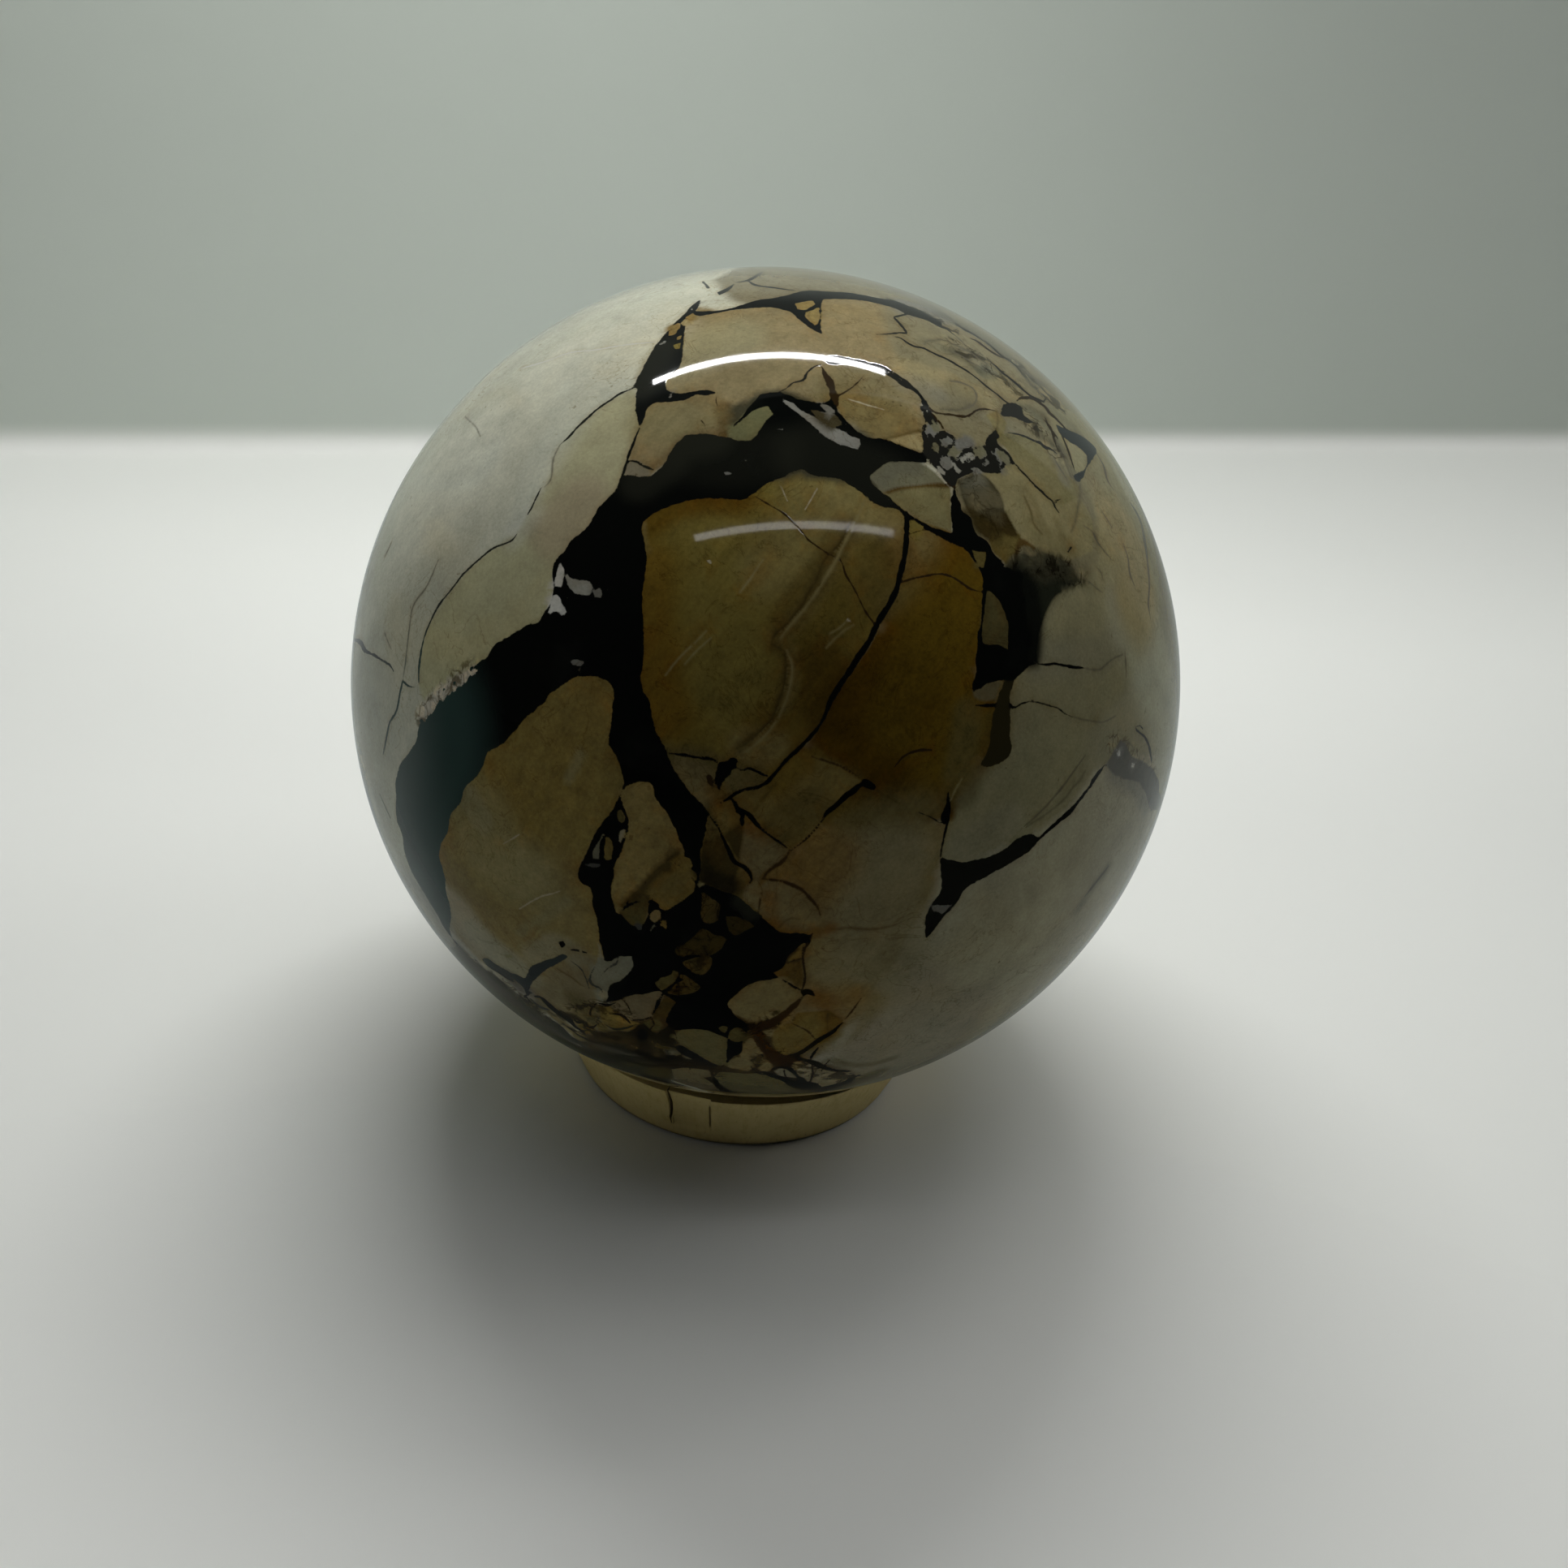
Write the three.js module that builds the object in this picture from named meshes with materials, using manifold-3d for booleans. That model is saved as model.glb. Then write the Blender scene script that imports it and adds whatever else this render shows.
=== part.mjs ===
// Polished agate sphere resting in a turned wooden ring stand.
// Millimetres, +Z up. The origin is the centre of the ring's foot, on the plane it stands on,
// with the sphere's centre straight above it. The front of the object faces -Y.
import * as THREE from "three";
import { mergeVertices } from "three/addons/utils/BufferGeometryUtils.js";
import Module from "manifold-3d";

// Sphere
const SPHERE_RADIUS = 35;
const SPHERE_CENTRE_HEIGHT = 38.3;
const SPHERE_DETAIL = 14;

// Ring stand: a low collar that flares outwards from its foot to its rim
const RING_HEIGHT = 7.2;
const RIM_OUTER_RADIUS = 18.5;
const FOOT_OUTER_RADIUS = 15.6;
const BORE_RADIUS = 12.5;
const FOOT_BEVEL = 0.35;
const RIM_BEVEL = 0.25;
const BORE_BEVEL = 0.5;
const RING_SEGMENTS = 72;
const SEAT_STEPS = 5;

// The seat is dished to the sphere, with a hair of clearance all round
const SEAT_CLEARANCE = 0.3;

// Drying crack on the outside of the ring, left of the front
const CRACK_ANGLE = -18.3;
const CRACK_WIDTH = 0.32;
const CRACK_DEPTH = 1.1;
const CRACK_LENGTH = 5.6;

// Shallow flat between the crack and a short groove nearer the front
const FLAT_START_ANGLE = -18.3;
const FLAT_END_ANGLE = -5.9;
const FLAT_DEPTH = 0.3;
const FLAT_LENGTH = 6.0;
const GROOVE_WIDTH = 0.3;
const GROOVE_DEPTH = 0.45;
const GROOVE_LENGTH = 4.4;

const wasm = await Module();
wasm.setup();

// A closed three.js geometry as a solid for cutting.
function toSolid(geometry) {
  const bare = geometry.clone();
  bare.deleteAttribute("normal");
  bare.deleteAttribute("uv");
  const merged = mergeVertices(bare, 1e-4);
  return new wasm.Manifold(
    new wasm.Mesh({
      numProp: 3,
      vertProperties: new Float32Array(merged.attributes.position.array),
      triVerts: new Uint32Array(merged.index.array),
    }),
  );
}

// A solid as a three.js geometry.
function toGeometry(solid) {
  const mesh = solid.getMesh();
  const positions = new Float32Array(mesh.numVert * 3);
  for (let i = 0; i < mesh.numVert; i++) {
    for (let k = 0; k < 3; k++) {
      positions[3 * i + k] = mesh.vertProperties[mesh.numProp * i + k];
    }
  }
  const geometry = new THREE.BufferGeometry();
  geometry.setAttribute("position", new THREE.BufferAttribute(positions, 3));
  geometry.setIndex(new THREE.BufferAttribute(new Uint32Array(mesh.triVerts), 1));
  geometry.computeVertexNormals();
  return geometry;
}

// Sphere with a vertex at each pole, so that its lowest and highest points are exact.
function sphereGeometry() {
  const geometry = new THREE.IcosahedronGeometry(SPHERE_RADIUS, SPHERE_DETAIL);
  const goldenRatio = (1 + Math.sqrt(5)) / 2;
  geometry.rotateX(Math.atan2(1, goldenRatio));
  geometry.deleteAttribute("normal");
  geometry.deleteAttribute("uv");
  const merged = mergeVertices(geometry, 1e-3);
  merged.computeVertexNormals();
  return merged;
}

// Height of the dished seat at a distance from the axis.
function seatHeight(radius) {
  const reach = SPHERE_RADIUS + SEAT_CLEARANCE;
  return SPHERE_CENTRE_HEIGHT - Math.sqrt(reach * reach - radius * radius);
}

// Distance from the axis at which the seat meets a height.
function seatRadius(height) {
  const reach = SPHERE_RADIUS + SEAT_CLEARANCE;
  const drop = SPHERE_CENTRE_HEIGHT - height;
  return Math.sqrt(reach * reach - drop * drop);
}

// Outer radius of the flared side at a height.
function sideRadius(height) {
  const share = height / RING_HEIGHT;
  return FOOT_OUTER_RADIUS + share * (RIM_OUTER_RADIUS - FOOT_OUTER_RADIUS);
}

// Turned ring: closed profile of (radius, height) points revolved about the vertical axis.
function ringGeometry() {
  const profile = [];
  profile.push(new THREE.Vector2(BORE_RADIUS + BORE_BEVEL, 0));
  profile.push(new THREE.Vector2(FOOT_OUTER_RADIUS - FOOT_BEVEL, 0));
  profile.push(new THREE.Vector2(sideRadius(FOOT_BEVEL), FOOT_BEVEL));
  profile.push(new THREE.Vector2(sideRadius(RING_HEIGHT - RIM_BEVEL), RING_HEIGHT - RIM_BEVEL));
  profile.push(new THREE.Vector2(RIM_OUTER_RADIUS - RIM_BEVEL, RING_HEIGHT));
  const seatTop = seatRadius(RING_HEIGHT);
  for (let i = 0; i <= SEAT_STEPS; i++) {
    const radius = seatTop + (i / SEAT_STEPS) * (BORE_RADIUS - seatTop);
    profile.push(new THREE.Vector2(radius, seatHeight(radius)));
  }
  profile.push(new THREE.Vector2(BORE_RADIUS, BORE_BEVEL));
  profile.push(profile[0].clone());
  const geometry = new THREE.LatheGeometry(profile, RING_SEGMENTS);
  geometry.rotateX(Math.PI / 2);
  return geometry;
}

// Places a cutter on the ring's side. In its own frame the cutter's X runs round the ring, its Y
// runs from the rim (0) down the side (negative) and its Z points out of the side.
function placeOnSide(geometry, angleDegrees) {
  const lean = Math.atan2(RIM_OUTER_RADIUS - FOOT_OUTER_RADIUS, RING_HEIGHT);
  geometry.rotateX(Math.PI / 2 + lean);
  geometry.translate(0, -RIM_OUTER_RADIUS, RING_HEIGHT);
  geometry.rotateZ(THREE.MathUtils.degToRad(angleDegrees));
  return geometry;
}

// Bent sliver of a crack: wide in the middle, closing to a point at its lower end.
function crackCutter() {
  const w = CRACK_WIDTH / 2;
  const outline = new THREE.Shape();
  outline.moveTo(-w * 0.6, 0.6);
  outline.lineTo(w * 0.9, 0.6);
  outline.lineTo(w * 1.3, -0.35 * CRACK_LENGTH);
  outline.lineTo(w * 0.4, -0.62 * CRACK_LENGTH);
  outline.lineTo(-w * 0.9, -CRACK_LENGTH);
  outline.lineTo(-w * 1.5, -0.8 * CRACK_LENGTH);
  outline.lineTo(-w * 0.9, -0.4 * CRACK_LENGTH);
  outline.closePath();
  const geometry = new THREE.ExtrudeGeometry(outline, {
    depth: CRACK_DEPTH + 1,
    bevelEnabled: false,
  });
  geometry.translate(0, 0, -CRACK_DEPTH);
  return placeOnSide(geometry, CRACK_ANGLE);
}

// Shallow flat pared off the side between the crack and the groove.
function flatCutter() {
  const middle = (FLAT_START_ANGLE + FLAT_END_ANGLE) / 2;
  const half = THREE.MathUtils.degToRad((FLAT_END_ANGLE - FLAT_START_ANGLE) / 2);
  const radius = sideRadius(RING_HEIGHT / 2);
  const width = 2 * radius * Math.sin(half);
  const geometry = new THREE.BoxGeometry(width, FLAT_LENGTH + 1, 2);
  geometry.translate(0, 1 - (FLAT_LENGTH + 1) / 2, 1 - FLAT_DEPTH);
  return placeOnSide(geometry, middle);
}

// Short groove that ends the flat.
function grooveCutter() {
  const geometry = new THREE.BoxGeometry(GROOVE_WIDTH, GROOVE_LENGTH, 1 + GROOVE_DEPTH);
  geometry.translate(0, -1.2 - GROOVE_LENGTH / 2, (1 - GROOVE_DEPTH) / 2);
  return placeOnSide(geometry, FLAT_END_ANGLE);
}

let ringSolid = toSolid(ringGeometry());
for (const cutter of [flatCutter(), crackCutter(), grooveCutter()]) {
  ringSolid = ringSolid.subtract(toSolid(cutter));
}

const agateMaterial = new THREE.MeshStandardMaterial({
  color: 0x6f6a5c,
  roughness: 0.08,
  metalness: 0,
});
const woodMaterial = new THREE.MeshStandardMaterial({
  color: 0xa8925c,
  roughness: 0.6,
  metalness: 0,
});

const sphere = new THREE.Mesh(sphereGeometry(), agateMaterial);
sphere.name = "agate_sphere";
sphere.position.set(0, 0, SPHERE_CENTRE_HEIGHT);

const ring = new THREE.Mesh(toGeometry(ringSolid), woodMaterial);
ring.name = "ring_stand";

const sphereOnStand = new THREE.Group();
sphereOnStand.add(sphere);
sphereOnStand.add(ring);

export default sphereOnStand;
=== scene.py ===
# Polished agate sphere with a black-veined breccia pattern, resting on a turned wooden ring stand.
# Metres, in the model's own frame: +Z up, the front of the object faces -Y.
import math
from itertools import product

import bpy
import numpy as np
from mathutils import Matrix, Vector
from mathutils.geometry import delaunay_2d_cdt


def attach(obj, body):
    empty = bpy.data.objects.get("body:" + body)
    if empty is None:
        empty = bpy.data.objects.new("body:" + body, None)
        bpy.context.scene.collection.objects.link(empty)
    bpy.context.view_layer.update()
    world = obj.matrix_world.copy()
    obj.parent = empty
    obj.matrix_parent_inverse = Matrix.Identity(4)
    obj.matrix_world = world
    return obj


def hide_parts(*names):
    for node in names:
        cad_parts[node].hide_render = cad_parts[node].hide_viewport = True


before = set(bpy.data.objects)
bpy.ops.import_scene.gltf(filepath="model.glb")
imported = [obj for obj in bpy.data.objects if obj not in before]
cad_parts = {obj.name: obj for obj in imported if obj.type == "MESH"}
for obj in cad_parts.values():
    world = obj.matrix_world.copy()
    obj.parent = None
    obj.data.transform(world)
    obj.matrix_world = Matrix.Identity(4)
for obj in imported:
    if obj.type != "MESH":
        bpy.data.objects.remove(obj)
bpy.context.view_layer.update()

SEED = 11
MM = 0.001

# Sphere, in millimetres
SPHERE_RADIUS = 35.0
SPHERE_CENTRE_HEIGHT = 38.3

# Ring stand, in millimetres
RING_HEIGHT = 7.2
RIM_OUTER_RADIUS = 18.5
FOOT_OUTER_RADIUS = 15.6
BORE_RADIUS = 12.5
SEAT_CLEARANCE = 0.3
CRACK_ANGLE = -18.3
GROOVE_ANGLE = -5.9

# Camera: place in millimetres from the sphere's centre, directions, lens in picture pixels
PICTURE_PIXELS = 1932
FOCAL_PIXELS = 1860
SENSOR_WIDTH = 36.0
CAMERA_PLACE = np.array([0.0, -120.155, 55.621])
CAMERA_AHEAD = np.array([0.01654841, 0.87977299, -0.47510593])
CAMERA_RIGHT = np.array([0.9964124, 0.02493253, 0.08087462])
CAMERA_UP = np.array([-0.0829969, 0.47473978, 0.87620412])

CAMERA_DISTANCE = np.linalg.norm(CAMERA_PLACE) / SPHERE_RADIUS
TOWARDS_CAMERA = CAMERA_PLACE / np.linalg.norm(CAMERA_PLACE)
LIMB_OFF_AXIS = math.asin(1 / CAMERA_DISTANCE)
# How far round the side a place outside the sphere's outline goes, in radians for each radius of the outline past it
BEYOND_LIMB = 2.2

# Guards against a division by zero; the first is also the tolerance of a test on directions
ALMOST_ZERO = 1e-9
TINY = 1e-12
# Pairs of a point and a segment that are measured at once
PAIRS_AT_ONCE = 1.5e6


def named_colours(text):
    """Colours by name, from entries "NAME red green blue" with semicolons between them."""
    entries = (entry.split() for entry in text.split(";"))
    return {name: tuple(float(v) for v in values) for name, *values in entries}


def on_sphere(pixels):
    """Unit directions from the sphere's centre of the surface points at these picture places.

    A place outside the sphere's outline stands for a point past the limb, so that a marking can run on round the side.
    """
    pixels = np.atleast_2d(np.asarray(pixels, float))
    half = PICTURE_PIXELS / 2
    across = (pixels[:, :1] - half) / FOCAL_PIXELS
    down = (pixels[:, 1:2] - half) / FOCAL_PIXELS
    rays = CAMERA_AHEAD + across * CAMERA_RIGHT - down * CAMERA_UP
    rays /= np.linalg.norm(rays, axis=1)[:, None]
    along = -(rays @ TOWARDS_CAMERA)[:, None]
    off_axis = np.arccos(np.clip(along, -1, 1))
    side = rays + along * TOWARDS_CAMERA
    side /= np.maximum(np.linalg.norm(side, axis=1), TINY)[:, None]
    seen = np.minimum(off_axis, LIMB_OFF_AXIS)
    polar = np.arcsin(np.clip(CAMERA_DISTANCE * np.sin(seen), -1, 1)) - seen
    polar = polar + np.maximum(off_axis / LIMB_OFF_AXIS - 1, 0) * BEYOND_LIMB
    return TOWARDS_CAMERA * np.cos(polar) + side * np.sin(polar)


def off_camera_axis(points):
    """Angle in degrees between each direction and the direction towards the camera."""
    return np.degrees(np.arccos(np.clip(points @ TOWARDS_CAMERA, -1, 1)))


class LocalMap:
    """Flat map of the sphere round one point, in millimetres, true to distance from that point."""

    def __init__(self, centre):
        self.z = centre / np.linalg.norm(centre)
        side = np.array([0.0, 0.0, 1.0]) if abs(self.z[2]) < 0.9 else np.array([1.0, 0.0, 0.0])
        self.x = np.cross(side, self.z)
        self.x /= np.linalg.norm(self.x)
        self.y = np.cross(self.z, self.x)

    def flat(self, points):
        u, v, w = points @ self.x, points @ self.y, points @ self.z
        s = np.hypot(u, v)
        k = np.arctan2(s, w) / np.maximum(s, ALMOST_ZERO) * SPHERE_RADIUS
        return np.c_[u * k, v * k]

    def round(self, flat):
        r = np.linalg.norm(flat, axis=1)
        a = r / SPHERE_RADIUS
        k = np.sin(a) / np.maximum(r, ALMOST_ZERO)
        return np.outer(flat[:, 0] * k, self.x) + np.outer(flat[:, 1] * k, self.y) + np.outer(np.cos(a), self.z)


def smooth_line(points, closed, step, sharp=60.0):
    """Denser points on a smooth curve through the given ones. Corners sharper than an angle in degrees stay corners."""
    p = np.asarray(points, float)
    n = len(p)
    if n < 3:
        closed = False
    last = n if closed else n - 1
    following = np.roll(p, -1, 0) - p
    length = np.maximum(np.linalg.norm(following, axis=1), ALMOST_ZERO)
    unit = following / length[:, None]
    tangent = np.zeros_like(p)
    corner = np.zeros(n, bool)
    for i in range(n):
        if not closed and i in (0, n - 1):
            corner[i] = True
            continue
        turn = math.degrees(math.acos(max(-1, min(1, float(unit[i - 1] @ unit[i])))))
        corner[i] = turn > sharp
        t = unit[i - 1] * length[i] + unit[i] * length[i - 1]
        tangent[i] = t / (length[i] + length[i - 1])
    out, shares = [], []
    for i in range(last):
        j = (i + 1) % n
        a, b, l = p[i], p[j], length[i]
        ta = unit[i] if corner[i] else tangent[i]
        tb = unit[i] if corner[j] else tangent[j]
        count = max(1, int(math.ceil(l / step)))
        t = (np.arange(count) / count)[:, None]
        h00, h10 = 2 * t**3 - 3 * t**2 + 1, t**3 - 2 * t**2 + t
        h01, h11 = 3 * t**2 - 2 * t**3, t**3 - t**2
        out.append(h00 * a + h10 * ta * l + h01 * b + h11 * tb * l)
        shares.append(i + t[:, 0])
    if not closed:
        out.append(p[-1:])
        shares.append(np.array([n - 1.0]))
    return np.concatenate(out), np.concatenate(shares)


def segment_distance(points, a, b):
    """Distance of each point to each segment, and the share along the segment."""
    d = b - a
    l2 = np.maximum((d**2).sum(1), TINY)
    rel = points[:, None, :] - a[None]
    t = np.clip((rel * d[None]).sum(2) / l2[None], 0, 1)
    gap = rel - t[..., None] * d[None]
    return np.sqrt((gap**2).sum(2)), t


def in_blocks(points, count, work):
    """Runs work on blocks of points, so that points times segments stays small in memory."""
    size = max(1, int(PAIRS_AT_ONCE // max(count, 1)))
    return np.concatenate([work(points[i : i + size]) for i in range(0, len(points), size)])


def polygon_depth(points, outline):
    """Distance inside a closed outline, negative outside."""
    a, b = outline, np.roll(outline, -1, 0)

    def work(block):
        d = segment_distance(block, a, b)[0].min(1)
        x, y = block[:, :1], block[:, 1:2]
        spans = (a[None, :, 1] > y) != (b[None, :, 1] > y)
        rise = np.where(b[:, 1] == a[:, 1], TINY, b[:, 1] - a[:, 1])
        cross = a[None, :, 0] + (y - a[None, :, 1]) * ((b[:, 0] - a[:, 0]) / rise)[None]
        inside = (spans & (x < cross)).sum(1) % 2 == 1
        return np.where(inside, d, -d)

    return in_blocks(points, len(outline), work)


def line_depth(points, line, half_width):
    """Distance inside a line whose half-width varies along it, negative outside."""
    a, b = line[:-1], line[1:]

    def work(block):
        d, t = segment_distance(block, a, b)
        half = half_width[None, :-1] * (1 - t) + half_width[None, 1:] * t
        return (half - d).max(1)

    return in_blocks(points, len(a), work)


def smoothstep(low, high, value):
    t = np.clip((value - low) / (high - low), 0, 1)
    return t * t * (3 - 2 * t)


# Colours of the stone, linear red, green and blue. The reflected teal ones are a painted reflection, mixed into the
# black veins' colour
STONE = named_colours("""
CAP 0.5 0.5 0.385; CAP_LOW 0.44 0.44 0.34; ARC 0.41 0.395 0.235; WARM 0.368 0.348 0.206; TOP_TAN 0.255 0.205 0.1;
LIMB_PALE 0.195 0.175 0.105; UP_RIGHT 0.215 0.19 0.105; LENS 0.2 0.178 0.08; CREAM 0.29 0.27 0.15;
PALE 0.258 0.236 0.128; PALE_LOW 0.37 0.345 0.225; PALE_RIM 0.405 0.4 0.265; PALE_DIM 0.28 0.245 0.165;
OLIVE 0.165 0.13 0.03; OLIVE_DEEP 0.115 0.084 0.016; OLIVE_LIGHT 0.215 0.18 0.07; OCHRE 0.102 0.055 0.004;
OCHRE_DEEP 0.06 0.03 0.002; OCHRE_ORANGE 0.15 0.072 0.008; OCHRE_OLIVE 0.125 0.08 0.008; LEFT_TAN 0.205 0.155 0.046;
LEFT_LOW 0.215 0.17 0.068; MID_CREAM 0.245 0.2 0.085; FRAG_DEEP 0.045 0.032 0.008; FRAG_BROWN 0.07 0.051 0.015;
FRAG_OLIVE 0.092 0.075 0.025; FRAG_OLIVE_LIGHT 0.145 0.115 0.04; FRAG_TAN 0.17 0.127 0.037;
FRAG_YELLOW 0.18 0.13 0.035; FRAG_ORANGE 0.14 0.082 0.018; FRAG_CREAM 0.212 0.168 0.074; FRAG_PALE 0.27 0.235 0.14;
FRAG_GREY 0.13 0.126 0.083; FRAG_GREY_LIGHT 0.21 0.19 0.125; FRAG_SMOKE 0.06 0.06 0.05; FRAG_PINK 0.162 0.13 0.07;
FRAG_GREEN 0.145 0.128 0.058; FRAG_RUST 0.052 0.024 0.004; FRAG_SHADE 0.019 0.015 0.006; LENS_CREAM 0.208 0.165 0.07;
LENS_GREEN 0.135 0.115 0.048; LOW_TAN 0.19 0.16 0.085; LOW_VIOLET 0.145 0.135 0.115; LEFT_GREY 0.3 0.29 0.195;
LIMB_GREY 0.105 0.1 0.07; LIMB_DEEP 0.045 0.045 0.025; LIMB_PALE_GREY 0.3 0.29 0.23; MID_BEIGE 0.222 0.166 0.06;
MID_RIGHT 0.236 0.205 0.112; MID_ORANGE 0.205 0.128 0.035; CAP_BRIGHT 0.6 0.6 0.475; ARC_WARM 0.3 0.275 0.15;
TAN_DIM 0.174 0.137 0.051; OCHRE_DARK 0.062 0.034 0.002; PALE_YELLOW 0.325 0.27 0.125; LEFT_COOL 0.235 0.205 0.095;
OLIVE_SHADE 0.062 0.042 0.01; SMOKE_DEEP 0.017 0.019 0.011; LENS_LIGHT 0.245 0.215 0.105;
PALE_LOW_RIGHT 0.28 0.255 0.156; TEAL 0.034 0.064 0.057; TEAL_GREY 0.045 0.07 0.062; INK_SMOKE 0.026 0.027 0.018;
INK_OLIVE 0.024 0.024 0.015; PALE_EDGE 0.5 0.47 0.38; CRUSH_GROUND 0.062 0.043 0.016; TAN_BAND 0.06 0.055 0.03;
SMOKE_BLACK 0.006 0.007 0.005; CHIP_OLIVE 0.135 0.118 0.06; FLAG_GREY 0.19 0.182 0.125; OLIVE_GLOW 0.235 0.195 0.08;
RIM_BROWN 0.23 0.185 0.1; MOTTLE 0.036 0.034 0.019; OLIVE_FADE 0.135 0.11 0.04; WHITE 0.6 0.6 0.54;
GREY 0.17 0.17 0.145; GREY_LIGHT 0.3 0.3 0.25; TAN 0.24 0.18 0.062; FRAG_TAUPE 0.118 0.102 0.054;
D2_UMBER 0.04 0.029 0.008; WEDGE_OLIVE 0.158 0.155 0.072; ARC_TAN 0.19 0.162 0.078; QUARTZ 0.215 0.215 0.185;
TAN_LIGHT 0.32 0.27 0.13; OLIVE_YELLOW 0.2 0.16 0.04; C1_GREY 0.165 0.158 0.095; D2_BROWN 0.055 0.048 0.024;
D2_GREY 0.13 0.125 0.085; SMOKE 0.04 0.042 0.026; SMOKE_GREEN 0.09 0.092 0.058; OLIVE_BROWN 0.125 0.1 0.03;
DEEP_OLIVE 0.085 0.072 0.026; PINK_TAN 0.33 0.26 0.17; BROWN 0.095 0.062 0.018
""")

# Colours of the veins and cracks, linear, each with how solid it is
INKS = named_colours("""
k 0.003 0.0036 0.003 1; d 0.014 0.014 0.011 1; g 0.05 0.052 0.042 1; u 0.03 0.037 0.036 1; f 0.11 0.1 0.07 0.8;
b 0.026 0.015 0.005 1; n 0.009 0.007 0.002 1; m 0.024 0.02 0.007 1; c 0.034 0.017 0.005 0.9; v 0.105 0.105 0.085 0.8;
o 0.022 0.021 0.01 0.9; h 0.034 0.024 0.006 0.65; e 0.24 0.2 0.082 0.6;
s 0.085 0.078 0.052 0.5; t 0.07 0.048 0.012 0.6; l 0.27 0.23 0.1 0.7; w 0.56 0.55 0.48 1; p 0.42 0.38 0.26 0.9
""")

# The pattern on the seen side. Places are pixels of the 1932-pixel picture, other lengths are millimetres.
# Clasts: colour, feather, outline
CLASTS = """
CAP_LOW 9 200,560 430,640 560,720 520,840 480,900 500,1060 590,1180 480,1300 200,1000
ARC 0.35 637,658 609,675 586,693 555,728 530,767 518,808 516,841 530,880 640,850 720,780 730,660 690,640
WARM 0.5 781,478 752,493 721,518 690,548 672,599 650,634 637,658 700,720 790,640 800,560 790,500
LIMB_PALE 1 880,345 935,318 1040,290 1130,305 1230,360 1200,400 1160,397 1100,372 1020,362 950,370 905,372
TOP_TAN 0.35 860,378 886,383 940,373 1013,366 1060,368 1120,384 1160,400 1190,425 1160,440 1168,480 1150,520 1140,565
 1090,560 1060,530 1000,500 950,500 900,560 850,560 780,600 775,560 790,500 785,470 820,412
UP_RIGHT 1.2 1090,376 1160,397 1215,380 1300,440 1380,540 1330,600 1290,560 1250,535 1215,590 1140,570 1128,480
 1105,440 1090,410
PALE 0.6 1290,500 1400,520 1520,700 1520,900 1440,930 1362,944 1304,1009 1238,1045 1188,1062 1150,1060 1165,1010
 1184,890 1230,838 1230,700 1320,690 1328,640 1310,570
PALE_LOW 0.4 1150,1056 1190,1062 1240,1045 1300,1010 1362,944 1450,930 1540,960 1420,1260 1220,1440 1000,1460
 1010,1330 1040,1290 1078,1225 1100,1140 1120,1040
OLIVE 0.3 785,688 790,638 830,610 900,605 935,595 990,570 1050,590 1118,635 1116,682 1104,730 1073,789 1035,845
 1006,900 970,936 945,965 885,950 821,930 790,860 780,800
OCHRE 0.35 1117,635 1171,655 1210,690 1215,760 1207,850 1230,870 1225,945 1204,930 1184,930 1176,1010 1140,1012
 1066,1007 1017,1006 990,1002 970,960 1006,900 1035,845 1073,789 1104,730 1116,682
LEFT_TAN 0.3 568,1170 553,1141 548,1083 530,1050 545,1004 560,971 590,928 630,890 670,850 721,825 765,840 775,857
 790,920 800,961 785,1013 752,1062 748,1088 768,1159 778,1185 752,1225 700,1240 640,1220 600,1190
LEFT_LOW 5 568,1170 553,1141 548,1083 560,1040 620,1050 690,1060 745,1159 755,1180 740,1215 700,1240 640,1220 600,1190
GREY_LIGHT 3.2 470,1060 540,1100 560,1150 590,1185 640,1240 720,1300 690,1340 560,1260 450,1120
DEEP_OLIVE 0.5 1186,895 1184,910 1182,925 1186,935 1195,930 1210,932 1219,915 1221,895 1226,875 1205,872 1192,885
OLIVE_LIGHT 0.8 1068,612 1088,624 1108,636 1112,655 1096,668 1076,664 1060,660 1064,636
CRUSH_GROUND 0.5 748,1238 762,1190 762,1100 780,980 830,950 900,1000 960,1080 1000,1148 1020,1150 1012,1210 1030,1250
 1045,1262 1012,1290 1000,1306 1060,1322 1030,1345 900,1352 830,1330 760,1305 700,1285
FRAG_TAN 0.5 812,925 880,930 950,945 985,922 1066,955 1010,1030 975,1052 960,1085 1030,1130 1025,1165 960,1165
 900,1130 850,1120 850,1060 840,1000
MID_BEIGE 0.8 975,1049 1012,1012 1040,1008 1066,1007 1100,1006 1140,1010 1168,1014 1160,1056 1150,1100 1120,1150
 1095,1200 1060,1235 1042,1256 1008,1283 985,1297 960,1300 955,1268 965,1255 988,1232 1000,1225 990,1205 990,1175
 1000,1152 1015,1140 1008,1122 998,1106 985,1095 965,1087 945,1083 935,1078 955,1062
LIMB_GREY 0.8 560,1160 585,1180 600,1195 625,1212 640,1226 660,1240 672,1252 690,1266 706,1280 735,1299 760,1308
 800,1322 850,1340 830,1380 700,1330 560,1250
LIMB_DEEP 1 720,1292 740,1296 760,1298 790,1306 830,1312 850,1314 830,1330 790,1324 750,1312
LOW_TAN 0.6 656,1217 660,1208 670,1200 685,1193 702,1182 722,1178 738,1180 730,1200 728,1212 740,1222 737,1236
 752,1238 760,1236 770,1250 778,1262 777,1270 760,1270 740,1272 722,1274 706,1262 690,1250 672,1236
LOW_TAN 0.5 672,1243 682,1248 694,1256 705,1264 716,1273 726,1282 716,1283 704,1276 692,1264 680,1255
"""

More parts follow.
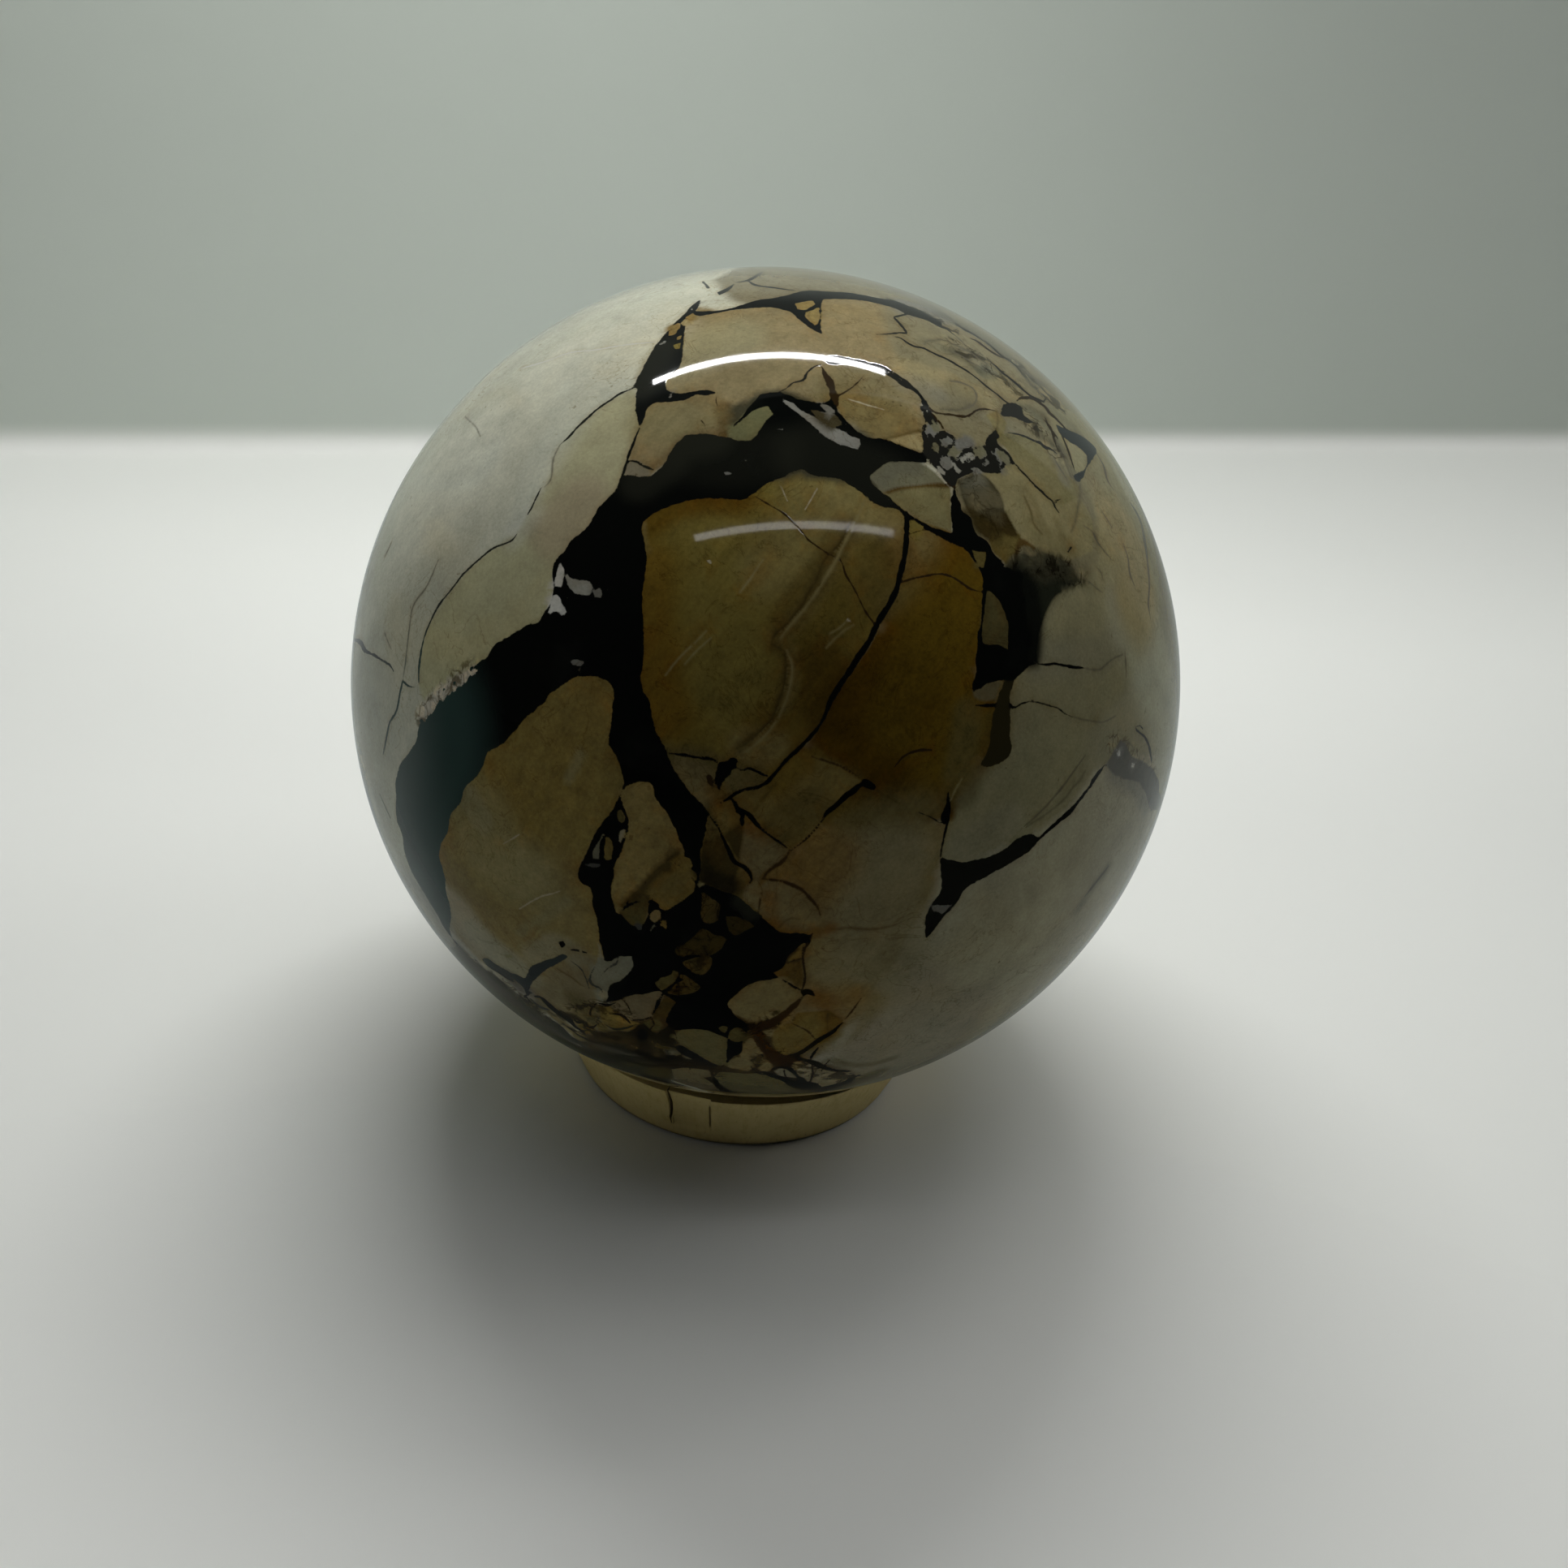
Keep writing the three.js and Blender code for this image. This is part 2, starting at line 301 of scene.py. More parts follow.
# Soft tints over the clasts: colour, strength, softness, half-width, line
TINTS = """
CAP 0.7 3 2.5 640,560 700,470 760,430
WHITE 0.22 1.2 0.4 655,636 645,648 634,660
PINK_TAN 0.5 2 1.2 690,650 715,622
OLIVE_LIGHT 0.8 2.6 2 1075,612 1100,640 1090,690
OLIVE_LIGHT 0.55 2.4 0.8 1000,610 985,660 950,700
BROWN 0.5 0.9 0.4 955,900 950,912
OCHRE 0.8 1.4 0.5 800,645 830,624 870,614 910,616
OCHRE_ORANGE 0.6 1.6 0.8 800,700 798,760 806,820 822,880
OLIVE_DEEP 0.85 2 1.6 1064,700 1030,750 1000,790
OCHRE_DEEP 0.5 2 1.2 1010,830 990,865 960,900 940,930
OLIVE_LIGHT 0.6 0.25 0.08 793,645 794,665 796,682
DEEP_OLIVE 0.6 1.4 0.8 1196,930 1190,950 1184,972
PALE_RIM 0.8 3 2.4 1400,760 1425,830 1440,900 1440,960
PALE_DIM 0.7 3 2 1120,1230 1090,1290 1060,1340 1120,1330 1180,1250
OCHRE_OLIVE 0.5 2.4 1 806,700 803,780 810,850 830,905
OCHRE_ORANGE 0.2 2.2 2 1135,670 1175,690 1190,705
OLIVE_SHADE 0.35 1.4 1 1102,690 1098,715 1090,735
ARC_TAN 0.8 1.6 1.2 1035,480 1060,468 1090,480
OCHRE_OLIVE 0.8 3 2.5 1180,760 1180,840 1160,900
LEFT_GREY 0.6 0.6 0.9 578,985 592,1008
PALE 0.5 0.5 0.12 715,930 700,960
PALE 0.45 0.6 0.1 700,1110 670,1130 640,1150
WHITE 0.2 2 0.9 566,1120 580,1150 600,1176
BROWN 0.8 0.6 0.35 890,503 896,520 897,536
BROWN 0.3 0.7 0.5 790,592 820,572 850,545 890,545
GREY 0.65 1 0.5 1115,383 1140,386 1160,392
GREY 0.5 1.2 0.6 1100,357 1130,368 1160,386
GREY 0.2 1.6 0.6 1280,815 1320,810 1360,800 1385,780
GREY 0.4 1.4 0.4 1375,740 1390,725 1400,710
FRAG_GREY 0.45 0.7 0.25 1366,1068 1345,1096 1326,1122
GREY 0.5 1.4 0.3 1372,950 1400,965 1415,990
OLIVE_LIGHT 0.5 1.6 1.2 560,1060 600,1075 650,1080
D2_GREY 0.8 1 0.6 1160,388 1180,398 1205,412 1230,430 1252,448 1270,466
TAN_LIGHT 0.6 1 0.7 1120,455 1150,465 1180,476 1210,490
MID_RIGHT 0.8 3 2.2 1090,1060 1080,1130 1075,1180 1040,1230
MID_ORANGE 0.7 2.4 1.6 965,1072 990,1085 1010,1060
OLIVE_DEEP 0.8 1.2 0.6 940,908 952,910 966,905
OLIVE_LIGHT 0.6 1.2 0.6 920,920 935,922 950,921
LIMB_PALE_GREY 0.7 0.7 0.25 570,1165 584,1180
LIMB_PALE_GREY 0.2 0.5 0.15 610,1218 640,1244 670,1266
LEFT_GREY 0.8 1.6 1 592,1155 605,1168 622,1182 640,1195
LEFT_GREY 0.5 1.2 0.6 660,1180 690,1168 705,1176
OLIVE_BROWN 0.7 1 0.6 1192,880 1190,905 1186,930 1180,955
CAP_BRIGHT 0.8 5 3 430,800 450,720 500,640 560,580
CAP_BRIGHT 0.5 4 2 700,450 780,425
ARC_WARM 0.7 2 1.4 835,440 870,425 900,415
TAN_DIM 0.8 1.8 1.2 1045,500 1075,512 1100,524
OCHRE_DARK 0.7 2.2 1.6 1040,868 1075,862 1110,860
OCHRE_DARK 0.65 2 1.4 1005,965 1040,958 1080,950
OCHRE_OLIVE 0.5 1.6 1 1140,780 1120,830 1100,890
RIM_BROWN 0.4 1 0.5 1345,590 1368,630 1392,690
RIM_BROWN 0.3 0.8 0.3 1366,560 1388,600 1404,640
PALE_YELLOW 0.8 3 2 1380,660 1400,700 1400,740
PALE_RIM 0.6 2 1.6 1330,500 1370,560 1400,620
OCHRE_OLIVE 0.9 0.8 0.4 1010,998 1035,1003 1060,1003
LEFT_COOL 0.7 2.5 2 590,1010 610,1050 640,1080
OLIVE_GLOW 0.2 0.8 0.3 1058,644 1044,668 1022,702 1004,732 982,762 958,788
OLIVE_GLOW 0.2 0.6 0.2 975,804 974,822 973,848 966,868
MID_ORANGE 0.55 1.2 0.7 998,1222 1020,1230 1044,1228
MID_ORANGE 0.45 1.2 0.6 1030,1252 1048,1240 1062,1226
OCHRE_ORANGE 0.35 0.8 0.4 1006,1226 1022,1234
OLIVE_SHADE 0.35 0.5 0.2 1050,640 1035,669 1015,692 1005,718 990,744 972,766 957,780 950,794
OLIVE_SHADE 0.35 0.45 0.18 957,797 966,803 969,816 967,840 961,860 954,880 940,898 923,914 908,922
OLIVE_SHADE 0.35 1.2 0.4 1040,655 1000,715 965,765
"""

# Small clasts over the tinted ones: colour, feather, outline
CHIPS = """
OLIVE_FADE 2.6 1070,985 1100,980 1150,978 1168,990 1160,1012 1120,1016 1080,1020 1040,1022 1020,1012 1040,1000
UP_RIGHT 0.4 1165,570 1215,580 1262,565 1335,600 1352,650 1346,704 1320,722 1296,745 1284,775 1279,818 1262,800
 1262,740 1240,700 1215,680 1178,640 1172,600
TAN_BAND 0.5 900,500 960,480 1010,500 1040,520 1090,545 1135,560 1135,600 1090,606 1060,600 1000,590 900,600
LENS 0.14 1230,538 1243,533 1258,536 1274,543 1286,551 1302,560 1310,572 1316,585 1328,597 1332,610 1322,622 1306,621
 1298,619 1290,611 1280,600 1270,590 1260,580 1252,573 1247,567 1243,557 1236,549 1228,542
LENS_LIGHT 0.14 1214,584 1232,582 1240,573 1252,573 1270,590 1290,611 1306,621 1330,612 1345,640 1347,680 1317,690
 1279,680 1252,664 1240,640 1236,618 1228,602 1220,592
C1_GREY 0.14 1071,586 1081,578 1092,570 1107,569 1130,570 1140,573 1150,580 1160,590 1165,597 1150,596 1130,598
 1110,600 1086,606
BROWN 0.14 1088,607 1110,600 1130,598 1150,595 1166,597 1172,601 1140,601 1110,604 1092,609
LENS 0.14 1090,609 1112,603 1140,600 1172,601 1173,655 1155,650 1125,634 1104,620
D2_BROWN 0.14 1180,592 1190,588 1200,584 1208,582 1214,586 1220,592 1228,602 1236,618 1240,640 1252,660 1216,664
 1198,640 1188,621
FRAG_TAUPE 0.3 1194,604 1206,602 1220,604 1232,610 1236,624 1228,631 1214,632 1202,628 1196,616
D2_GREY 0.7 1184,592 1196,587 1208,584 1214,590 1218,598 1206,600 1194,602 1187,600
D2_BROWN 0.14 1200,630 1215,628 1230,626 1236,627 1240,634 1246,644 1252,655 1235,654 1219,655 1220,661 1208,657
 1202,650 1199,645
OLIVE_BROWN 0.14 1220,655 1235,654 1252,655 1258,660 1256,668 1252,680 1245,688 1240,696 1232,688 1224,680 1220,672
 1219,662
MOTTLE 0.6 1236,697 1246,688 1258,680 1268,676 1282,678 1296,682 1308,686 1318,694 1326,704 1330,717 1322,724 1300,720
 1276,724 1256,722
SMOKE_DEEP 0.6 1240,712 1254,706 1264,708 1276,714 1288,716 1300,712 1314,716 1328,714 1341,717 1322,722 1309,728
 1298,737 1291,750 1286,762 1282,776 1279,790 1278,806 1279,818 1264,812 1262,780 1258,740 1248,716
SMOKE_DEEP 0.14 1309,728 1298,737 1291,750 1286,762 1282,776 1279,790 1278,806 1279,818 1270,810 1272,790 1276,768
 1284,748 1294,734 1303,728
BROWN 0.14 1256,664 1262,665 1270,670 1277,675 1274,678 1262,672 1258,674 1254,684 1250,682 1253,672
FRAG_TAUPE 0.14 1260,674 1268,674 1277,680 1276,684 1266,683 1261,679
CHIP_OLIVE 0.14 1199,851 1208,847 1216,842 1225,840 1234,840 1231,850 1228,862 1215,865 1205,862 1200,858
OLIVE_LIGHT 0.14 1216,512 1228,506 1234,515 1240,520 1236,534 1228,541 1226,530
C1_GREY 0.14 1198,452 1214,450 1222,452 1232,462 1226,470 1212,466
TAN_LIGHT 0.14 1092,543 1110,538 1138,531 1138,556 1122,553 1104,546
FRAG_TAN 0.14 951,957 985,925 1005,932 1040,945 1062,962 1045,979 1020,1002 1003,1024 974,1048 950,1030 928,1012
 908,996 900,984 921,972
FRAG_OLIVE_LIGHT 0.14 817,928 840,931 862,935 882,938 884,950 890,968 900,983 888,990 874,996 868,996 862,991 852,977
 840,963 830,950
FRAG_OLIVE_LIGHT 0.14 884,945 908,946 930,950 949,957 930,971 911,975 899,984 888,978 892,962
FRAG_TAN 0.14 874,995 885,990 897,986 905,994 913,1001 910,1012 902,1019 890,1027 884,1017 878,1007
FRAG_CREAM 0.14 918,1012 929,1017 939,1026 957,1038 972,1048 965,1057 952,1067 939,1077 934,1094 920,1104 914,1106
 918,1093 928,1086 926,1074 917,1064 911,1060 914,1040 916,1024
FRAG_BROWN 0.14 890,1029 902,1021 911,1015 917,1018 915,1034 912,1048 911,1060 903,1049 897,1038
FRAG_CREAM 0.14 937,1092 945,1086 965,1088 985,1096 998,1107 1008,1122 1014,1135 1000,1147 984,1149 967,1147 951,1139
 933,1122 916,1108 922,1100
FRAG_BROWN 0.14 864,1000 870,1002 876,1012 886,1024 896,1045 908,1064 912,1070 906,1080 906,1100 900,1103 893,1100
 880,1093 862,1086 861,1078 864,1062 864,1048 868,1035 871,1018
FRAG_YELLOW 0.14 989,1162 983,1170 970,1181 971,1186 979,1183 987,1181 990,1173
FRAG_ORANGE 0.14 955,1198 960,1195 968,1187 977,1186 988,1183 989,1193 991,1205 988,1215 989,1221 983,1219 969,1210
 961,1205
FRAG_YELLOW 0.14 982,1249 994,1247 1012,1246 1020,1246 1038,1259 1022,1274 1008,1281 994,1269 976,1261
FRAG_TAN 0.14 955,1268 964,1263 975,1261 984,1265 994,1270 1002,1277 1005,1281 994,1291 985,1296 976,1299 964,1300
 954,1291 951,1282 952,1274
FRAG_CREAM 0.14 913,1295 917,1286 924,1279 933,1282 940,1292 945,1299 951,1304 948,1309 934,1311 920,1308 912,1303
FRAG_CREAM 0.14 895,1312 901,1306 908,1303 915,1304 926,1309 930,1314 923,1319 908,1317 898,1315
FRAG_CREAM 0.14 941,1311 948,1309 952,1314 948,1319 939,1320 934,1316
FRAG_RUST 0.14 925,1268 938,1262 951,1258 962,1255 952,1268 940,1280 952,1292 965,1300 984,1299 990,1306 978,1312
 960,1313 948,1308 944,1300 938,1290 930,1280
FRAG_CREAM 0.14 943,1269 950,1267 954,1271 951,1277 944,1275 941,1271
FRAG_GREY_LIGHT 0.14 984,1300 990,1297 996,1294 1001,1293 999,1298 996,1303 990,1303
FRAG_PALE 0.14 982,1318 989,1315 996,1311 1010,1316 1022,1320 1038,1322 1051,1324 1044,1333 1028,1338 1015,1341
 1002,1341 994,1337 994,1330 988,1327 982,1323
FRAG_CREAM 0.14 974,1314 979,1309 988,1309 992,1313 984,1317 978,1319
FRAG_GREY_LIGHT 0.14 955,1320 960,1317 969,1318 975,1322 982,1328 971,1327 960,1325
FRAG_GREEN 0.14 877,1322 893,1321 906,1322 921,1323 941,1321 954,1327 971,1333 982,1338 994,1343 1007,1346 1007,1350
 976,1354 951,1354 925,1353 913,1350 902,1347 890,1342 880,1334
LOW_TAN 0.14 828,1318 842,1316 855,1317 874,1319 877,1326 868,1328 880,1336 892,1344 870,1342 842,1336 829,1331
FRAG_OLIVE 0.14 790,1319 801,1315 816,1315 826,1318 828,1330 816,1328 800,1324
FRAG_PALE 0.14 736,1160 741,1168 742,1177 747,1181 758,1182 759,1186 754,1189 746,1192 741,1197 737,1206 740,1216
 733,1214 729,1206 731,1196 736,1184 738,1172
FRAG_YELLOW 0.14 738,1240 753,1239 764,1244 770,1252 778,1258 788,1260 786,1264 777,1269 762,1269 750,1264 741,1256
FRAG_OLIVE 0.14 793,1260 800,1257 810,1256 816,1262 812,1269 806,1271 800,1267
FRAG_SHADE 0.14 736,1284 745,1274 760,1270 776,1271 786,1263 794,1262 800,1268 808,1273 818,1266 824,1262 832,1272
 832,1280 840,1288 850,1294 862,1301 875,1308 888,1314 870,1315 850,1311 830,1310 812,1311 796,1307 776,1309 760,1306
 745,1300
FRAG_OLIVE_LIGHT 0.14 712,1262 722,1260 730,1266 734,1268 732,1272 724,1273 716,1269
FRAG_OLIVE_LIGHT 0.14 736,1262 744,1258 752,1262 748,1269 738,1270
D2_UMBER 0.25 1198,634 1212,633 1226,634 1240,632 1247,646 1256,662 1244,660 1230,654 1222,656 1216,664 1206,652
"""

# Soft tints over the small clasts: colour, strength, softness, half-width, line
CHIP_TINTS = """
LENS 0.5 1.5 1 800,520 830,520 860,510
FRAG_GREY 0.3 0.5 0.3 1190,606 1210,604
D2_GREY 0.6 0.6 0.3 1304,545 1312,560 1320,575 1324,586
TAN_LIGHT 0.22 1.6 1.4 588,1045 620,1062 645,1078
TAN_DIM 0.5 1 0.4 560,1085 570,1100 600,1110
FRAG_BROWN 0.8 0.6 0.25 762,1284 776,1290 790,1292
FRAG_BROWN 0.8 0.6 0.25 812,1290 828,1294 838,1300
FRAG_SHADE 0.7 0.8 0.3 850,1250 870,1262 890,1266
SMOKE_GREEN 0.12 0.8 0.3 1262,688 1290,684 1320,688
MOTTLE 0.25 0.9 0.4 1326,704 1338,710 1338,718
OCHRE_OLIVE 0.8 0.8 0.4 996,1300 1012,1288 1026,1276
FRAG_GREEN 0.8 0.9 0.5 1010,1346 1036,1341 1060,1332 1080,1322
SMOKE_BLACK 1 0.9 0.5 1256,712 1266,726 1270,748 1272,776 1270,806
D2_BROWN 0.8 0.5 0.2 1215,789 1219,793
OLIVE_BROWN 0.3 1 0.4 1272,650 1290,662 1315,672
SMOKE 0.6 0.8 0.4 1100,372 1120,380 1140,388
GREY 0.75 0.7 0.3 1112,372 1136,378 1160,388
C1_GREY 0.45 0.8 0.45 1146,424 1158,428 1170,430
SMOKE 0.45 0.8 0.35 1172,432 1184,438 1196,446 1206,453
D2_GREY 0.45 0.7 0.35 1186,428 1200,434 1212,442 1220,450
GREY_LIGHT 0.15 0.6 0.25 1196,440 1206,448 1214,454
D2_GREY 0.3 1.1 0.8 1164,484 1176,492 1190,500
SMOKE 0.18 0.9 0.35 1180,474 1192,482 1200,494 1197,503
GREY_LIGHT 0.2 0.9 0.6 1112,470 1135,476 1150,484
D2_BROWN 0.5 0.7 0.3 1256,500 1272,508 1286,514
C1_GREY 0.7 0.8 0.5 1262,506 1276,516 1290,528 1300,545
SMOKE 0.5 0.5 0.2 1276,528 1284,536 1292,542
C1_GREY 0.6 0.8 0.5 1290,500 1310,518 1330,536
TAN_LIGHT 0.4 0.9 0.5 1230,475 1250,486
D2_BROWN 0.2 0.8 0.5 1190,606 1206,612 1222,622
FRAG_TAUPE 0.4 0.5 0.3 1205,618 1220,632 1230,640
D2_UMBER 0.8 0.6 0.5 1195,638 1205,646 1225,654
BROWN 0.25 0.4 0.12 1262,600 1276,625 1290,655
BROWN 0.25 0.4 0.1 1300,640 1310,662
GREY 0.35 0.6 0.3 1298,560 1306,575 1312,592
D2_GREY 0.6 0.5 0.3 1084,590 1100,580 1130,576
OCHRE_ORANGE 0.6 0.6 0.2 1000,1149 1012,1148 1023,1143
OCHRE_ORANGE 0.4 1 0.4 1010,1232 995,1238 978,1248 968,1256
OCHRE_ORANGE 0.5 1 0.3 1020,1250 1030,1262 1022,1272
OCHRE_ORANGE 0.5 0.8 0.2 948,1108 950,1124 950,1136
OCHRE_ORANGE 0.6 0.7 0.2 951,1140 965,1146 980,1148
FRAG_RUST 0.5 0.9 0.3 903,1228 912,1222
FRAG_RUST 0.7 0.7 0.2 912,1246 928,1252 944,1252
FRAG_CREAM 0.5 1.2 0.6 935,1236 955,1226 970,1224
FRAG_BROWN 0.6 0.9 0.3 985,1205 980,1196
OCHRE_ORANGE 0.6 0.7 0.2 926,1018 932,1024
FRAG_SHADE 0.9 1 0.4 900,1092 885,1088 872,1082
FRAG_SHADE 0.6 0.8 0.2 868,1060 867,1074
FRAG_OLIVE_LIGHT 0.6 0.6 0.25 872,1008 876,1018 878,1028
FRAG_OLIVE 0.8 1 0.5 820,934 832,942 848,936 862,940
FRAG_CREAM 0.5 1 0.5 846,950 858,958 866,975
OCHRE_ORANGE 0.5 0.8 0.3 880,975 888,984
FRAG_OLIVE 0.5 1.2 0.5 1000,990 985,1000 960,1025
OCHRE_OLIVE 0.6 1 0.4 958,962 975,948 990,938
FRAG_OLIVE 0.8 0.7 0.25 772,974 784,969 800,969
FRAG_CREAM 0.5 0.5 0.12 767,1124 775,1117 784,1112 798,1111
FRAG_BROWN 0.8 0.8 0.35 834,1104 844,1100
FRAG_CREAM 0.4 0.7 0.3 845,1085 852,1092
FRAG_BROWN 0.6 0.6 0.25 868,1166 855,1172
FRAG_OLIVE 0.8 0.5 0.18 862,1150 850,1160 838,1172
FRAG_CREAM 0.4 0.7 0.25 843,1290 862,1298 885,1308
FRAG_OLIVE 0.7 0.4 0.1 844,1279 846,1283
FRAG_BROWN 0.7 0.8 0.4 745,1280 760,1276 772,1280
LIMB_GREY 0.6 0.9 0.4 745,1292 760,1297 775,1299
FRAG_OLIVE 0.8 0.5 0.15 754,1305 770,1310 782,1313
FRAG_BROWN 0.6 0.6 0.2 806,1284 815,1292 812,1300
FRAG_GREY 0.7 0.5 0.15 826,1297 831,1296
FRAG_GREY 0.7 0.5 0.15 848,1302 854,1303
FRAG_GREEN 0.7 1.2 0.5 985,1343 1010,1342 1040,1336 1065,1328
PALE_DIM 0.7 1.6 0.8 1020,1300 1050,1292 1080,1270
FRAG_YELLOW 0.35 1.2 0.5 1015,1292 1035,1280 1060,1258 1075,1236
FRAG_OLIVE 0.5 0.6 0.2 1022,1306 1040,1312 1070,1312 1100,1304
LIMB_PALE_GREY 0.9 0.35 0.16 586,1182 592,1187 602,1194 613,1201 625,1209 633,1215 637,1223 643,1228
LOW_VIOLET 0.8 0.9 0.5 632,1206 640,1214 648,1218
LOW_VIOLET 0.7 0.9 0.4 645,1222 655,1228 662,1236
FRAG_OLIVE 0.7 0.9 0.4 660,1240 668,1242 676,1240
LIMB_PALE_GREY 0.6 0.4 0.14 714,1288 723,1293 733,1298
FRAG_OLIVE 0.7 1 0.6 712,1232 725,1245 722,1256
FRAG_PINK 0.5 1.4 0.8 715,1185 725,1200 715,1215
LENS_LIGHT 0.6 1 0.5 1250,566 1272,582 1296,600
PALE_LOW_RIGHT 0.7 1.4 0.8 1190,1042 1215,1030 1240,1015
"""

# Drifts of colour in the black, and a painted reflection of the bright floor and wall on the left black band (the
# reflected teal rows): colour, strength, softness, half-width, line
INK_TINTS = """
INK_SMOKE 0.22 2 1.2 860,560 900,566 950,560
TEAL 0.9 5 4.2 520,900 505,960 515,1030 545,1090
TEAL_GREY 0.5 2.4 1.2 500,920 492,980 504,1040 530,1100 556,1140
INK_SMOKE 0.45 1.6 0.7 790,592 815,575 840,550 875,540
INK_SMOKE 0.3 2.2 1.4 1000,560 1040,575 1080,590
INK_OLIVE 0.3 2 1.6 1150,1110 1190,1080 1240,1052
INK_SMOKE 0.7 0.6 0.3 912,1112 920,1118 926,1126
INK_SMOKE 0.5 1.4 0.6 815,430 800,455 792,475
"""

